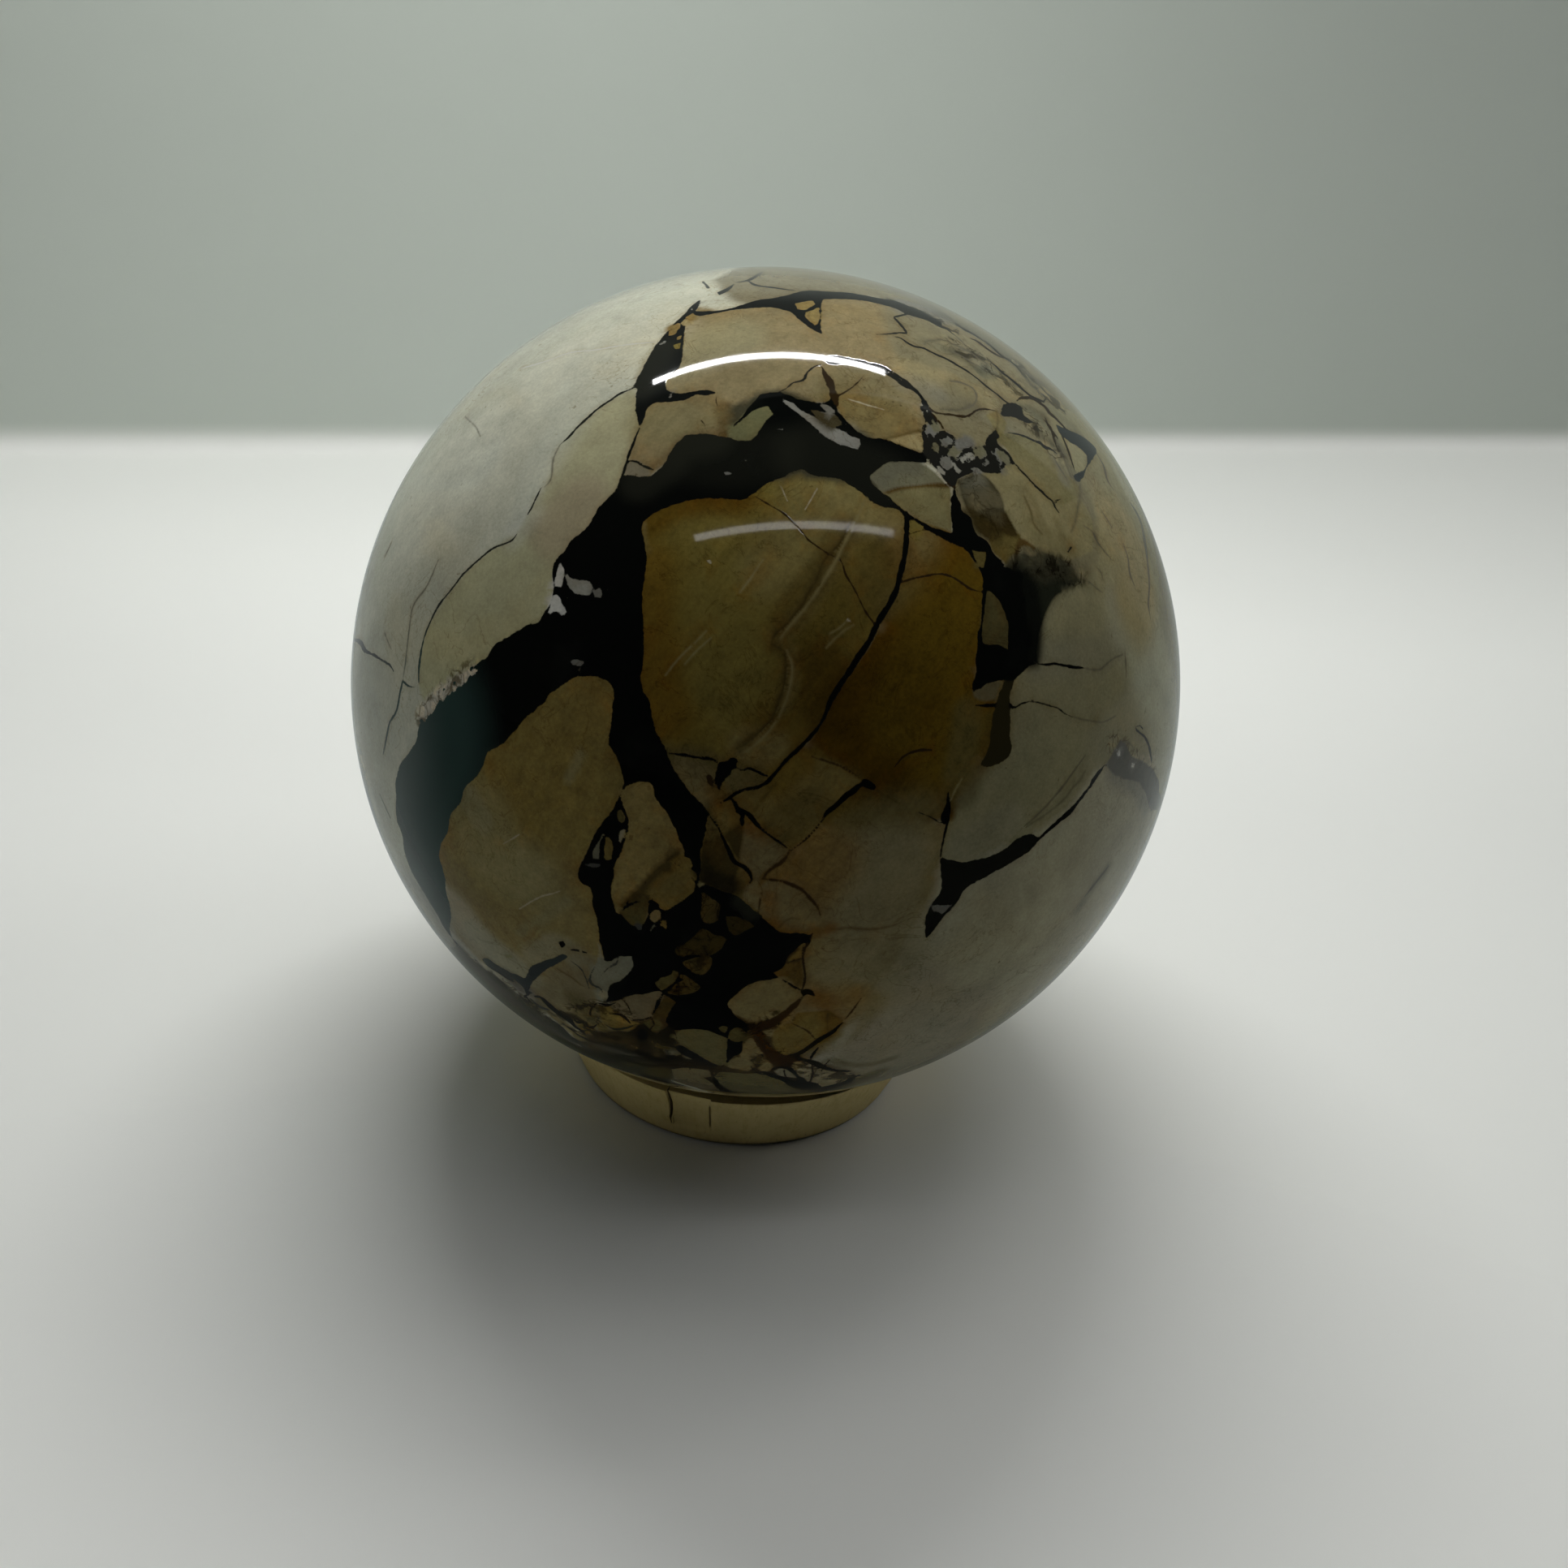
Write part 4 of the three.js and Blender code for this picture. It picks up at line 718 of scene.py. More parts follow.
# Cracks: ink, line. A place may have the width there, in pixels, as a third number
CRACKS = """
b 1286,517,1.6 1293,524 1297,533,2 1300,545 1304,556,1.2
b 1303,526,1.4 1309,538 1315,552,1.8 1320,566 1324,580,1.4
b 1109,718,3 1125,713 1142,709,2.4 1160,707 1174,711,2.4 1186,719 1196,726,3 1212,730,2
b 1119,659,2.4 1130,655 1143,653,1.4
e 1066,616,2 1053,643,3 1039,671,3.4 1026,696,3.6 1012,719,3.2 998,741,3 983,760,3.6 970,775,3.4 962,786,2
e 969,801,2.4 975,818,2.6 974,842,3 967,866,2.4 959,884,2.6 946,902,3 932,916,3.2 919,926,2
e 1018,798,1.6 1030,786 1042,776,2 1052,770,1.4
t 1024,1145,1.8 1045,1143 1070,1145,2 1088,1143 1106,1139,1.4
u 626,1200,5 636,1205,6.5 644,1210,7 648,1218,5 650,1226,3
t 958,1145,1.6 966,1136 976,1131,2 985,1133,1.4
f 1352,560,1.2 1360,574 1364,590,1.6 1372,604,1.2
f 1384,670,1.2 1390,688 1392,706,1.6 1398,722,1.2
t 1262,612,1.4 1270,630 1274,646,1.8 1284,658,1.4
o 745,1262,2 756,1268 770,1267,2.4 784,1262,1.6
o 700,1266,1.6 714,1276 730,1283,2.4 745,1287,1.6
b 802,1253,2 806,1262 800,1270,2.4
b 826,1262,2.4 830,1270 834,1280,2
n 775,1308,2 800,1313,2.4 830,1312 860,1315,2
b 860,1301,2 852,1309 850,1318,1.6
b 892,1312,2.4 886,1319 880,1326,2
b 925,1314,2 930,1320 940,1324,2
b 1022,1306,1.6 1016,1313 1012,1320,1.6
b 1000,1311,2 1002,1322 998,1334,2
b 968,1312,2 966,1320 970,1330,2
t 1032,1322,1.6 1036,1330 1030,1338,1.6
b 760,1226,1.6 772,1236 778,1250,2
g 706,1186,1.6 716,1194 722,1206,2 726,1218,1.4
t 690,1196,1.6 704,1204 716,1214,1.6
k 788,528,2.5 782,542 773,565,3 770,575 768,582 763,596 760,602,3
k 771,572,3 777,568 785,569 793,574 805,579,3
d 908,348,2 923,345,2 940,335,1.5
d 961,482,2 968,479 976,472 991,467 993,461 1001,453 1011,449,2.5
b 1011,450,2.5 1020,463 1027,473 1028,481,3
b 1064,463,1.5 1058,470 1046,480 1030,489,2
d 781,478,2 762,486 752,493 736,504,2.5 721,518 711,527 701,538 690,548,2
f 690,548,1.5 683,562 676,595 672,599,1.2
d 666,602,2 661,613 655,626 650,634,2
d 637,658,1.5 632,665,2 609,675 599,682 586,693 570,708 555,728,2.2 540,747 530,767 522,788 518,808 516,828 516,841,2
f 540,690,1.2 525,724 509,747 505,770 502,793 500,813 496,839,1.2
k 437,788,2 443,791,2.5 451,802 461,807 472,814 480,819 485,827,1.5
d 511,847,1.5 503,845,2 496,839 493,854 488,877 480,891 477,905 472,930,1.5
f 573,513,1 586,527 592,538,1
f 483,667,1 474,686,1
f 474,780,1 482,800,1
f 468,979,1 481,1008,1
d 866,347,1.2 873,355,1.5
w 642,454,1.2 673,445 701,435 734,431 762,426 790,423 818,421,1
d 921,345,1.5 928,350 951,354,1.5 964,356 979,358,1.5
k 1299,621,2 1304,616,1.5
f 1393,620,1.5 1402,635 1407,648,2 1411,671 1414,694,1.8 1416,722 1415,748 1418,763,1.2
f 1357,629,1 1364,640 1370,650,1
f 1342,717,1.5 1358,730,1
k 1117,632,8 1117,656,7 1115,682,6.6 1109,708,7.2 1103,730,7.6 1094,748,9 1083,766,8 1072,789,7.6 1061,804,7
 1046,827,7 1034,845,6.8 1024,863,6.2 1016,884,5.8 1005,900,5.4 987,919,5 969,936,5 954,954,4.4 939,968,4.2 918,973,4
 900,982,3.6
b 931,612,1.5 949,623,2 964,632 978,644,2 987,654 995,664 1005,672,2 1020,682 1037,692,2 1041,705,2.4 1049,720
 1057,736,2.6 1066,753 1076,767,3
d 1363,944,2 1361,943,2 1345,962,3
b 1102,945,2.5 1115,931,4 1128,926,4 1148,924,5
d 1132,1001,1 1146,1006 1158,1014,1.4
b 884,485,1.5 882,492 884,500,1
b 864,518,1.5 868,523,1
p 1046,492,1.2 1066,498 1090,505,1
p 964,603,1.2 970,617,1
p 1007,602,1.2 992,628,1
p 873,691,2 876,694,2
p 1044,763,2 1047,765,2
p 640,1120,1 663,1106 690,1098,1
p 620,1040,1 640,1028,1
d 1088,374,3 1104,379,3 1120,386,3.5 1132,390,3 1146,395,2.5 1152,399,2 1160,403 1168,406,2 1172,410,1.5 1178,414,1.5
s 1178,414,1.5 1187,423 1193,430,1.5
s 1166,417,1.5 1170,421 1178,426 1188,429,1.5 1194,432,1.5
d 1175,397,2 1183,402 1191,407,2 1200,412 1207,417,2 1215,422 1222,427,1.6 1229,434 1237,440,1.6 1245,445 1253,452,1.5
 1257,457,1.5
s 1148,391,1.5 1158,388 1168,390 1173,396,1.5
b 1196,417,2 1203,420 1210,425,2.4 1218,431 1226,436,2.4 1234,440,2.4 1240,441,1.5
d 1221,446,1.8 1228,452 1235,459,2.4 1243,465 1250,471,2.4 1258,478 1265,484,2 1272,489 1278,492,2 1286,495
 1289,490,1.6
s 1262,464,2 1270,474 1280,482,2 1288,490,2
f 1268,460,1.5 1278,468 1286,474,1.5 1292,480 1300,489,1.4
d 1103,415,1.6 1109,416 1118,422,2 1127,427 1138,429,2.2 1146,433 1154,437,2 1164,441 1173,446,2 1181,451 1190,456,2.2
 1198,462 1206,468,2 1214,475 1222,481,2 1230,487 1238,494,2 1245,498,2
d 1080,412,1.5 1090,412 1100,411,1.6 1110,410 1118,411,2 1113,404 1107,397,1.8 1101,391,1.8 1108,389 1118,387,1.6
 1127,387,1.6
s 1139,424,1.5 1141,421 1146,420,1.5 1153,419 1160,418,1.5
f 1172,433,1.6 1182,437 1190,442,1.6 1200,449 1207,452,1.6
f 1183,430,1.4 1192,432 1200,437,1.4 1208,443 1216,448,1.4
s 1160,504,2 1172,505 1182,505,2 1190,502 1196,498,2
b 1145,503,2 1152,508 1162,510,2 1172,511 1184,513,2.4 1194,512 1200,507,2.2 1208,504 1216,504,2 1226,506,1.4
b 1253,494,2.4 1256,491 1262,490,3.2 1268,490 1274,492,2.6 1280,496 1286,500,3 1290,504 1292,508,3 1298,513
 1304,519,2.2 1311,526 1316,531,2.2
b 1288,515,2.4 1290,521 1294,528,2.4 1299,534 1303,540,2
s 1300,540,1.8 1304,548 1308,558,1.8 1312,568 1316,578,1.8 1320,588,1.6
f 1296,560,1.5 1302,570 1308,580,1.5 1314,590,1.5
d 1242,533,1.2 1250,534 1258,536,1.8 1266,539 1274,543,2 1282,546,2.6 1287,551,3 1294,553 1300,557,1.8 1304,562,1.4
d 1252,573,2.4 1258,580 1266,588,2.2 1274,597 1283,605,2.2 1290,612 1297,618,2.4 1300,625,2.4 1305,632,1.4
d 1298,618,2 1302,616 1307,615,1.6
k 1121,474,2.4 1128,480 1134,487,3 1138,493,3.6 1141,498,3
b 1151,512,2 1158,521 1164,531,2.6
t 1228,507,1.5 1230,518 1228,530,1.5
t 1090,540,1.6 1110,536 1130,531 1139,530,1.6
k 1279,818,2.5 1289,819 1297,818,3.5 1310,820,4 1322,822,4 1335,823,4
f 1335,823,2 1348,825 1356,824,1.6 1364,817 1372,811 1382,807,1.4
f 1386,803,1.4 1387,815 1388,835,1.2
k 1202,869,2 1212,869,5 1228,869,5 1245,870,5 1250,872,3 1258,867 1266,865,2 1272,863
d 1266,865,2 1278,865 1285,867,1.8 1295,870 1304,873,1.6 1312,879 1320,883,1.5
f 1320,883,1.5 1340,888 1360,890,1.2 1375,882
s 1337,950,1.5 1330,962 1322,970,1.5 1314,982 1306,990 1296,998,1.5 1285,1006 1275,1012 1266,1018,1.3
d 1399,895,1.4 1405,894 1408,898,1.6
d 1399,898,1.6 1404,903 1410,908,2 1414,915 1417,925,2 1419,938,1.6
s 1381,912,1.6 1388,914 1394,918,1.6 1397,922
s 1331,600,1.8 1330,615 1327,630,1.8 1324,645 1320,655,1.5
d 1316,680,2 1320,674,1.6
k 1167,1014,3.4 1163,1030,3 1160,1045,2.6 1159,1055,3
l 1172,985,1.6 1178,972 1185,960,1.4
l 940,690,1.6 926,710 912,730,1.6
l 870,778,1.6 854,794 840,808,1.8 828,822 820,832,1.4
l 876,786,1.4 858,802 844,818,1.4
l 1046,763,1.8 1034,774 1020,782,1.6
p 855.5,1031,1.5 856,1036 855.4,1041,1.3
h 1050,640,1.6 1042,656 1035,669,2.4 1024,682 1015,692,2 1009,706 1005,718,2.6 996,731 990,744,3 981,755 972,766,2.4
 964,774 957,780,2.4 952,787 950,794,2
h 950,794,2 957,797,2 963,800 967,805,2.4 969,816,2.8 969,828 967,840,3 965,850 961,860,2.6 958,870 954,880,2.6
 948,889 940,898,2.4 932,906 923,914,2 915,919 908,922,1.6
f 1170,469,1.6 1186,472 1200,480,1.8 1203,490 1200,498,1.8 1190,503 1176,505,1.4
f 1366,1067,2 1356,1080 1345,1094,2.4 1337,1104,1.6
f 1337,931,1.6 1322,952 1304,976,1.8 1284,998 1262,1018,1.6
f 1336,648,1.4 1346,655 1352,668,1.6 1358,676 1370,690,1.4
f 1352,700,1.4 1357,706 1359,714,1.4
t 1010,720,1.8 1000,730 985,745,1.6
b 1165,597,3 1170,598 1176,600,5
k 821,928,4 840,930 862,934,4 873,935 881,937 888,942,4
k 908,946,3.5 915,950 921,947,3 931,950 940,954,3.5 949,957
k 952,957,4.5 949,961 941,966,3.5 933,971 921,973,3 911,975 905,979,4 898,984 888,989,3
k 899,983,4 905,989,5 909,997 915,999,5 921,1002,6 929,1012,5 937,1021 949,1030,3 962,1039 973,1047,2.4
t 911,1012,2.5 902,1020 891,1028,2
k 868,994,3 874,1005 883,1016,3 891,1033,4 898,1048,5.5 906,1062,6 915,1067,5 924,1076 926,1085,5 921,1091,4
c 973,1048,4.5 968,1056 959,1065,5.5 949,1071 942,1079,4 939,1083,3.5
c 939,1083,3.5 951,1084 964,1086,4 976,1091 987,1096,4.5 997,1106 1006,1116,3.5 1011,1128,2
k 1064,964,7 1045,979,7.4 1032,991 1019,1002,6 1012,1012,3.5
b 1012,1012,3.5 1003,1024,3 993,1034 982,1042,2.4 975,1048,2.4
c 1000,932,2.5 1019,938 1039,945,3 1049,951 1058,958,3
t 956,966,3 947,977 939,986,4 931,997,2.5
t 931,901,5 921,910,7 911,918,5
t 1084,976,3 1092,981,2.4 1108,990,1.4
c 938,1100,2 936,1112 934,1124,3
k 862,1104,3 855,1108 851,1113,2.5
p 862,1103,2.4 855,1108 851,1113,2.2 849,1119,1.2
l 860,1092,2.4 866,1089,2
b 854,1195,2.5 862,1195 869,1187,1.6
b 836,1168,1.4 850,1170 862,1176,1.4
b 826,1221,1.4 838,1217 852,1216,1.4
k 817,1224,4.5 810,1237,5 804,1250,4
k 802,1112,3 806,1116,4 809,1119,3
k 800,1120,2 799,1128,2
c 1061,1230,1.6 1053,1242,2.4 1042,1255,2.4
n 1038,1260,3 1022,1274,4.5 1008,1282,4.5 994,1292,4 983,1299,4 971,1302,3
n 1008,1291,2.4 1002,1299,4 998,1306,3
c 1005,1281,1.6 994,1270,2 984,1265,1.6 976,1261,1.4
t 1012,1246,2 1020,1246,3.5 1019,1260,3 1020,1270,2
t 1021,1247,2.4 1028,1252,2 1036,1255,2
b 990,1164,3 989,1176 991,1192,3 992,1207 989,1218,3.5
b 1001,1150,4 997,1160,4 991,1172,3.4 990,1180
b 971,1187,2.6 979,1183 988,1181,2.4
n 961,1205,2 969,1210,2.6 978,1216 988,1221,4
c 988,1229,6 977,1241,7 965,1251,7.4 951,1260,8 938,1265,8 928,1270,7
c 930,1276,5 938,1290,6 947,1300,5 960,1304,7 972,1303,6
c 941,1280,4 946,1286,5 950,1292,3
t 929,1313,2.4 938,1310 948,1306,2.4
t 899,1319,2.4 915,1320 929,1321,2
k 951,1318,2 960,1315,3 971,1316,3 979,1322,3.5 984,1328,3
k 929,1322,1.2 941,1321,2.4 951,1325,3 964,1329 974,1333,3 982,1335,5 993,1338,7 1001,1341,5 1010,1342,4
d 1060,1324,1.4 1049,1329,2.4 1043,1334,3 1028,1338 1015,1343,3.5 1005,1347,3
k 877,1321,2 880,1330,2.4 888,1340,2.6 902,1347,2.2 919,1351,1.8 940,1353,1.5 976,1353,1.4
b 868,1328,2 875,1331 881,1334,2
b 801,1312,2 829,1314,3 855,1313,3.4 880,1317,3 899,1320,2
b 788,1323,2 804,1329,3 823,1334,2.4
d 596,1184,2 602,1190,2.4 613,1197 625,1205,2.6 632,1209,2
d 646,1229,2 654,1223,2
d 648,1228,2 653,1234,1.6
d 659,1228,3 667,1229,2 672,1234,3.5 680,1242,4 690,1250 701,1257,4.5 706,1263,3 713,1268 721,1273,2
g 654,1231,2.5 664,1240,3.5 676,1244,2
g 672,1252,2.4 681,1259,3 691,1266,3 698,1275,4 705,1279,3 717,1287,3 723,1292,3 735,1299,2
o 690,1283,2.4 704,1290,4 717,1295,4.5 729,1300,4 746,1302,5 759,1307,5
g 600,1206,2 625,1230,2 650,1248,1.6
g 640,1230,1.6 652,1244,2 668,1258,1.6
b 735,1236,2 728,1245,4 727,1251,3.4
t 720,1251,2 730,1252 740,1252,2
k 708,1256,2 711,1260,2.4 719,1259,2.4
b 720,1263,2.4 726,1266 732,1265,2.4 738,1260,2
g 733,1192,1.6 728,1202,2.6 727,1209,3 732,1215,2.6 740,1218,2.6 742,1222,2
k 737,1236,2.6 745,1238,3 752,1238,2.6 759,1235,2
g 762,1180,2.6 760,1187,2.6 753,1191,2.4 745,1197,2 741,1202,1.6
d 701,1170,2 710,1171,3 723,1174,2.2
b 751,1249,3 766,1251,3 776,1260,3.4
t 745,1245,1.6 756,1249 766,1251,1.6
b 778,1257,2.4 791,1257 802,1253,2.6
l 637,1168,2.6 641,1165 646,1162,1.6
l 624,1178,3 630,1178,2.4
l 660,1156,1.6 662,1149,2.4 668,1145,1.4
o 745,1286,3 760,1289 775,1287,2.4
o 742,1296,2 756,1300 772,1302,3 790,1303,2
"""

# Zones where a vein's edge crumbles: strength, softness, half-width, line
CRUMBLE = """
0.35 0.8 0.35 520,884 548,852 583,822
0.3 0.6 0.3 1240,696 1256,706 1262,740 1268,790
0.5 1 0.6 1100,360 1150,385 1200,412
0.35 0.6 0.3 1138,500 1141,520 1143,545 1150,565
0.25 0.8 0.8 1160,548 1200,560 1230,565
0.5 0.6 0.3 1264,456 1280,470 1300,488 1312,500
0.25 0.8 0.4 930,1270 950,1290 975,1304
0.25 1 0.6 750,1285 790,1290 830,1300
0.2 0.8 0.4 790,1098 830,1070
"""

# Zones of crushed, mottled stone: strength, softness, half-width, line
CRUSH = """
0.5 1 0.5 1258,690 1284,694 1308,700 1326,708
0.3 1 0.5 1200,612 1215,632 1232,650
0.3 1 0.6 1190,598 1204,590
0.7 0.9 0.4 1120,380 1140,388 1170,404
0.5 1.4 0.8 1180,428 1215,448 1250,474
0.9 0.9 0.4 1258,452 1285,484 1305,500
0.7 1 0.5 1262,512 1280,530 1300,556
1 0.9 0.7 745,1278 785,1294 822,1302
0.8 0.9 0.5 940,1305 950,1300 1000,1320 1050,1330
0.7 1 0.6 930,1268 960,1256
0.6 1.4 0.8 700,1262 725,1250 760,1248
0.7 0.9 0.5 585,1186 620,1212 655,1240 700,1276
0.6 0.8 0.5 520,884 548,852 583,826
0.2 1.5 1 840,1060 880,1000 850,950
0.4 1.5 1 870,1110 850,1170 850,1220
0.5 1 0.5 1372,915 1400,940 1424,968
0.15 1.2 0.5 1350,600 1385,640 1400,700
0.12 1.4 0.8 905,640 960,610 1010,606
0.12 1.6 1 1015,1000 980,1060 1000,1110
"""

# Mesh of the stone: numbers of even points, degrees from the camera's direction, then lengths in millimetres
FRONT_POINTS = 53000
BACK_POINTS = 15000
FRONT_REACH = 84.0
FRONT_EVEN_SHARE = 0.45
ROW_STEP = 0.24
HIDDEN_ROW_STEP = 0.42
BODY_ROW_OFFSET = 0.11
CRACK_ROW_MARGIN = 0.11
WIDE_CRACK = 0.22
INNER_ROW_MARGIN = 0.12
INNER_ROW_LEAST = 0.05
ROW_CLEARANCE = 0.17
CLOSEST_POINTS = 0.075
CRISP_FEATHER = 0.2
REACH_MARGIN = 1.8

# Ring of points round the sphere's lowest point, where the flat map ends: count, radius, and the heights below which
# the other points and the triangles are left out, as shares of the sphere's radius
POLE_POINTS = 24
POLE_RADIUS = 0.0225
POLE_CLEARED = -0.99966
POLE_INSIDE = -0.9997

# Depth in a vein, in millimetres: no point has less than this, or more than its opposite
FAR_DEPTH = -1.6
# Depths between which a light piece's colour comes in
PIECE_EDGE = (-0.3, -0.12)
# Crumbliness of a plain edge
EVEN_EDGE = 0.03

# Step along a drawn line, in picture pixels
PX_STEP = 4.0
# Small irregular waves of a drawn edge: period in millimetres and share. They fade out towards a line's ends
ROUGH_WAVES = ((2.2, 1.0), (1.0, 0.6), (0.5, 0.35))
ROUGH_END = 0.8
CLAST_ROUGH = 0.05
TINT_ROUGH = 0.06
BODY_ROUGH_SHARE = 0.6
PIECE_ROUGH = 0.03
CRACK_ROUGH = 0.03
# A crack's tips: share of the width at the very end, and points until the full width
TIP_SHARE = 0.45
TIP_POINTS = 4
# A crack's random swelling: share of the width, and points from one random value to the next
SWELL = 0.22
SWELL_POINTS = 3

# Unseen side of the stone: clasts and veins of the same kind, made from seeded random numbers.
# Seams are degrees from the camera's direction, and half-widths and junction sizes are millimetres
HIDDEN_CLASTS = 46
SEEN_SEEDS = 34
SEAM_SEEN = 66.0
SEAM_HIDDEN = 92.0
HIDDEN_SCATTER = 0.11
SEEN_SCATTER = 0.05
HIDDEN_FEATHER = 0.4
JUNCTION_SIZES = (0.0, 0.0, 0.0, 0.7, 1.6, 2.6, 3.6)
CRUSHED_JUNCTION = 0.5
BUSY_JUNCTION = 1.5
VEIN_HALF_WIDTHS = (0.07, 0.08, 0.09, 0.11, 0.16, 0.25, 0.5, 1.1, 2.0)
VEIN_WANDER = 0.16
VEIN_SWELLS = 7
BLACK_VEIN = 0.12
CRUMBLY_VEIN = 0.3
HAIRLINES = 70
HAIRLINE_WANDER = 0.14
HAIRLINE_INKS = ("d", "f", "b", "f", "k")
# A wandering path is halved down to steps of this length, wanders less each time, and has a few points for each step
WANDER_STEP = 1.1
WANDER_EASE = 0.85
WANDER_POINTS = 4
# Seeds whose directions are further apart than this cosine share no border
NEIGHBOUR = 0.3
# Colours of the unseen clasts, each as often as its number says
HIDDEN_PALETTE = [STONE[name] for name, weight in (
    ("CAP", 5), ("CAP_LOW", 4), ("PALE", 4), ("TOP_TAN", 3), ("UP_RIGHT", 2), ("OLIVE", 4), ("OCHRE", 2),
    ("LEFT_TAN", 3), ("MID_CREAM", 3), ("ARC", 3), ("CREAM", 2), ("WARM", 3), ("OCHRE_ORANGE", 1), ("PINK_TAN", 1),
) for _ in range(weight)]


def table(text):
    """Rows of words. An indented line carries on the row above it."""
    rows = []
    for line in text.strip().splitlines():
        if line.startswith(" "):
            rows[-1] += line.split()
        else:
            rows.append(line.split())
    return rows


def numbers(words):
    """Points and widths from words "x,y" or "x,y,width". Widths in between are filled in evenly."""
    rows = [[float(v) for v in word.split(",")] for word in words]
    points = np.array([r[:2] for r in rows])
    known = [(i, r[2]) for i, r in enumerate(rows) if len(r) > 2]
    if not known:
        return points, None
    return points, np.interp(range(len(rows)), [k[0] for k in known], [k[1] for k in known])


def sideways(ahead):
    """Unit vectors to the left of flat directions."""
    side = np.c_[-ahead[:, 1], ahead[:, 0]]
    return side / np.maximum(np.linalg.norm(side, axis=1), ALMOST_ZERO)[:, None]


def roughened(line, amount, step, rng, closed):
    """Adds small irregular sideways waves to a dense line, in millimetres."""
    n = len(line)
    if n < 4:
        return line
    ahead = np.roll(line, -1, 0) - np.roll(line, 1, 0)
    if not closed:
        ahead[0], ahead[-1] = line[1] - line[0], line[-1] - line[-2]
    wave = np.zeros(n)
    for period, share in ROUGH_WAVES:
        count = max(2, int(n * step / period))
        values = rng.uniform(-1, 1, count + 1)
        if closed:
            values[-1] = values[0]
        wave += share * np.interp(np.arange(n) / n * count, np.arange(count + 1), values)
    if not closed:
        ends = np.minimum(np.arange(n), np.arange(n)[::-1]) * step
        wave *= np.clip(ends / ROUGH_END, 0, 1)
    return line + sideways(ahead) * (wave * amount)[:, None]


class Feature:
    """One marking of the stone: its outline or line on a flat map of the sphere."""

    def __init__(self, kind, world, half_width=None, closed=False, rough=0.0, rng=None, **extra):
        self.kind = kind
        self.extra = extra
        self.closed = closed
        centre = world.mean(0)
        self.centre = centre / np.linalg.norm(centre)
        self.map = LocalMap(self.centre)
        line = self.map.flat(world)
        gaps = np.linalg.norm(np.diff(line, axis=0), axis=1)
        step = max(float(np.median(gaps)) if len(gaps) else 0.3, 0.02)
        if rough:
            line = roughened(line, rough, step, rng, closed)
        self.line = line
        self.half_width = half_width
        self.reach = np.linalg.norm(line, axis=1).max() + REACH_MARGIN
        if half_width is not None:
            self.reach += half_width.max()

    def nearby(self, points, margin=0.0):
        """Numbers of the points that the marking can touch."""
        angle = min((self.reach + margin) / SPHERE_RADIUS, math.pi)
        return np.nonzero(points @ self.centre > math.cos(angle))[0]

    def depth(self, points):
        """Distance inside the marking, in millimetres, negative outside."""
        flat = self.map.flat(points)
        if self.closed:
            return polygon_depth(flat, self.line)
        return line_depth(flat, self.line, self.half_width)

    def has_edge(self):
        return self.kind in ("dark", "piece") or self.extra.get("feather", 1.0) < CRISP_FEATHER

    def rows(self, step=ROW_STEP):
        """Points beside the marking's edge, so that the mesh has vertices along it."""
        line = self.line
        if self.closed:
            line = np.r_[line, line[:1]]
        gaps = np.linalg.norm(np.diff(line, axis=0), axis=1)
        run = np.r_[0, np.cumsum(gaps)]
        at = np.linspace(0, run[-1], max(2, int(run[-1] / step) + 1))
        middle = np.c_[np.interp(at, run, line[:, 0]), np.interp(at, run, line[:, 1])]
        side = sideways(np.gradient(middle, axis=0))
        if self.closed:
            offsets = [np.full(len(at), BODY_ROW_OFFSET), np.full(len(at), -BODY_ROW_OFFSET)]
        else:
            half = np.interp(at, run, self.half_width)
            offsets = [np.zeros(len(at)), half + CRACK_ROW_MARGIN, -half - CRACK_ROW_MARGIN]
            if half.max() > WIDE_CRACK:
                inner = np.maximum(half - INNER_ROW_MARGIN, INNER_ROW_LEAST)
                offsets += [inner, -inner]
        flat = np.concatenate([middle + side * o[:, None] for o in offsets])
        return self.map.round(flat)


def picture_outline(words, rough, rng, kind, **extra):
    """A closed marking of the seen side."""
    dense, _ = smooth_line(numbers(words)[0], True, PX_STEP)
    return Feature(kind, on_sphere(dense), closed=True, rough=rough, rng=rng, **extra)


def picture_crack(words, ink, rng):
    """A crack of the seen side, with tapered tips and a slightly random width."""
    points, widths = numbers(words)
    dense, share = smooth_line(points, False, PX_STEP)
    wide = np.interp(share, np.arange(len(points)), widths)
    side = sideways(np.gradient(dense, axis=0))
    world = on_sphere(dense)
    edge = on_sphere(dense + side * wide[:, None] / 2)
    half = np.linalg.norm(edge - world, axis=1) * SPHERE_RADIUS
    run = np.arange(len(half))
    if len(half) > TIP_POINTS:
        ends = np.minimum(run, run[::-1])
        half = half * np.clip(TIP_SHARE + (1 - TIP_SHARE) * ends / TIP_POINTS, 0, 1)
    knots = np.arange(0, len(half) + 2 * SWELL_POINTS, SWELL_POINTS)
    half = half * (1 + SWELL * np.interp(run, knots, rng.uniform(-1, 1, len(knots))))
    return Feature("dark", world, half_width=half, rough=CRACK_ROUGH, rng=rng, ink=ink, crumb=0.0)


def soft_zone(kind, rough, rng, strength, soft, half, *words, **extra):
    """A broad line of the seen side with soft edges."""
    dense, _ = smooth_line(numbers(words)[0], False, PX_STEP)
    half_width = np.full(len(dense), float(half))
    extra.update(strength=float(strength), soft=float(soft))
    return Feature(kind, on_sphere(dense), half_width=half_width, rough=rough, rng=rng, **extra)


def tints(kind, text, rng):
    """The soft tints of a table."""
    return [soft_zone(kind, TINT_ROUGH, rng, *row, colour=STONE[colour]) for colour, *row in table(text)]


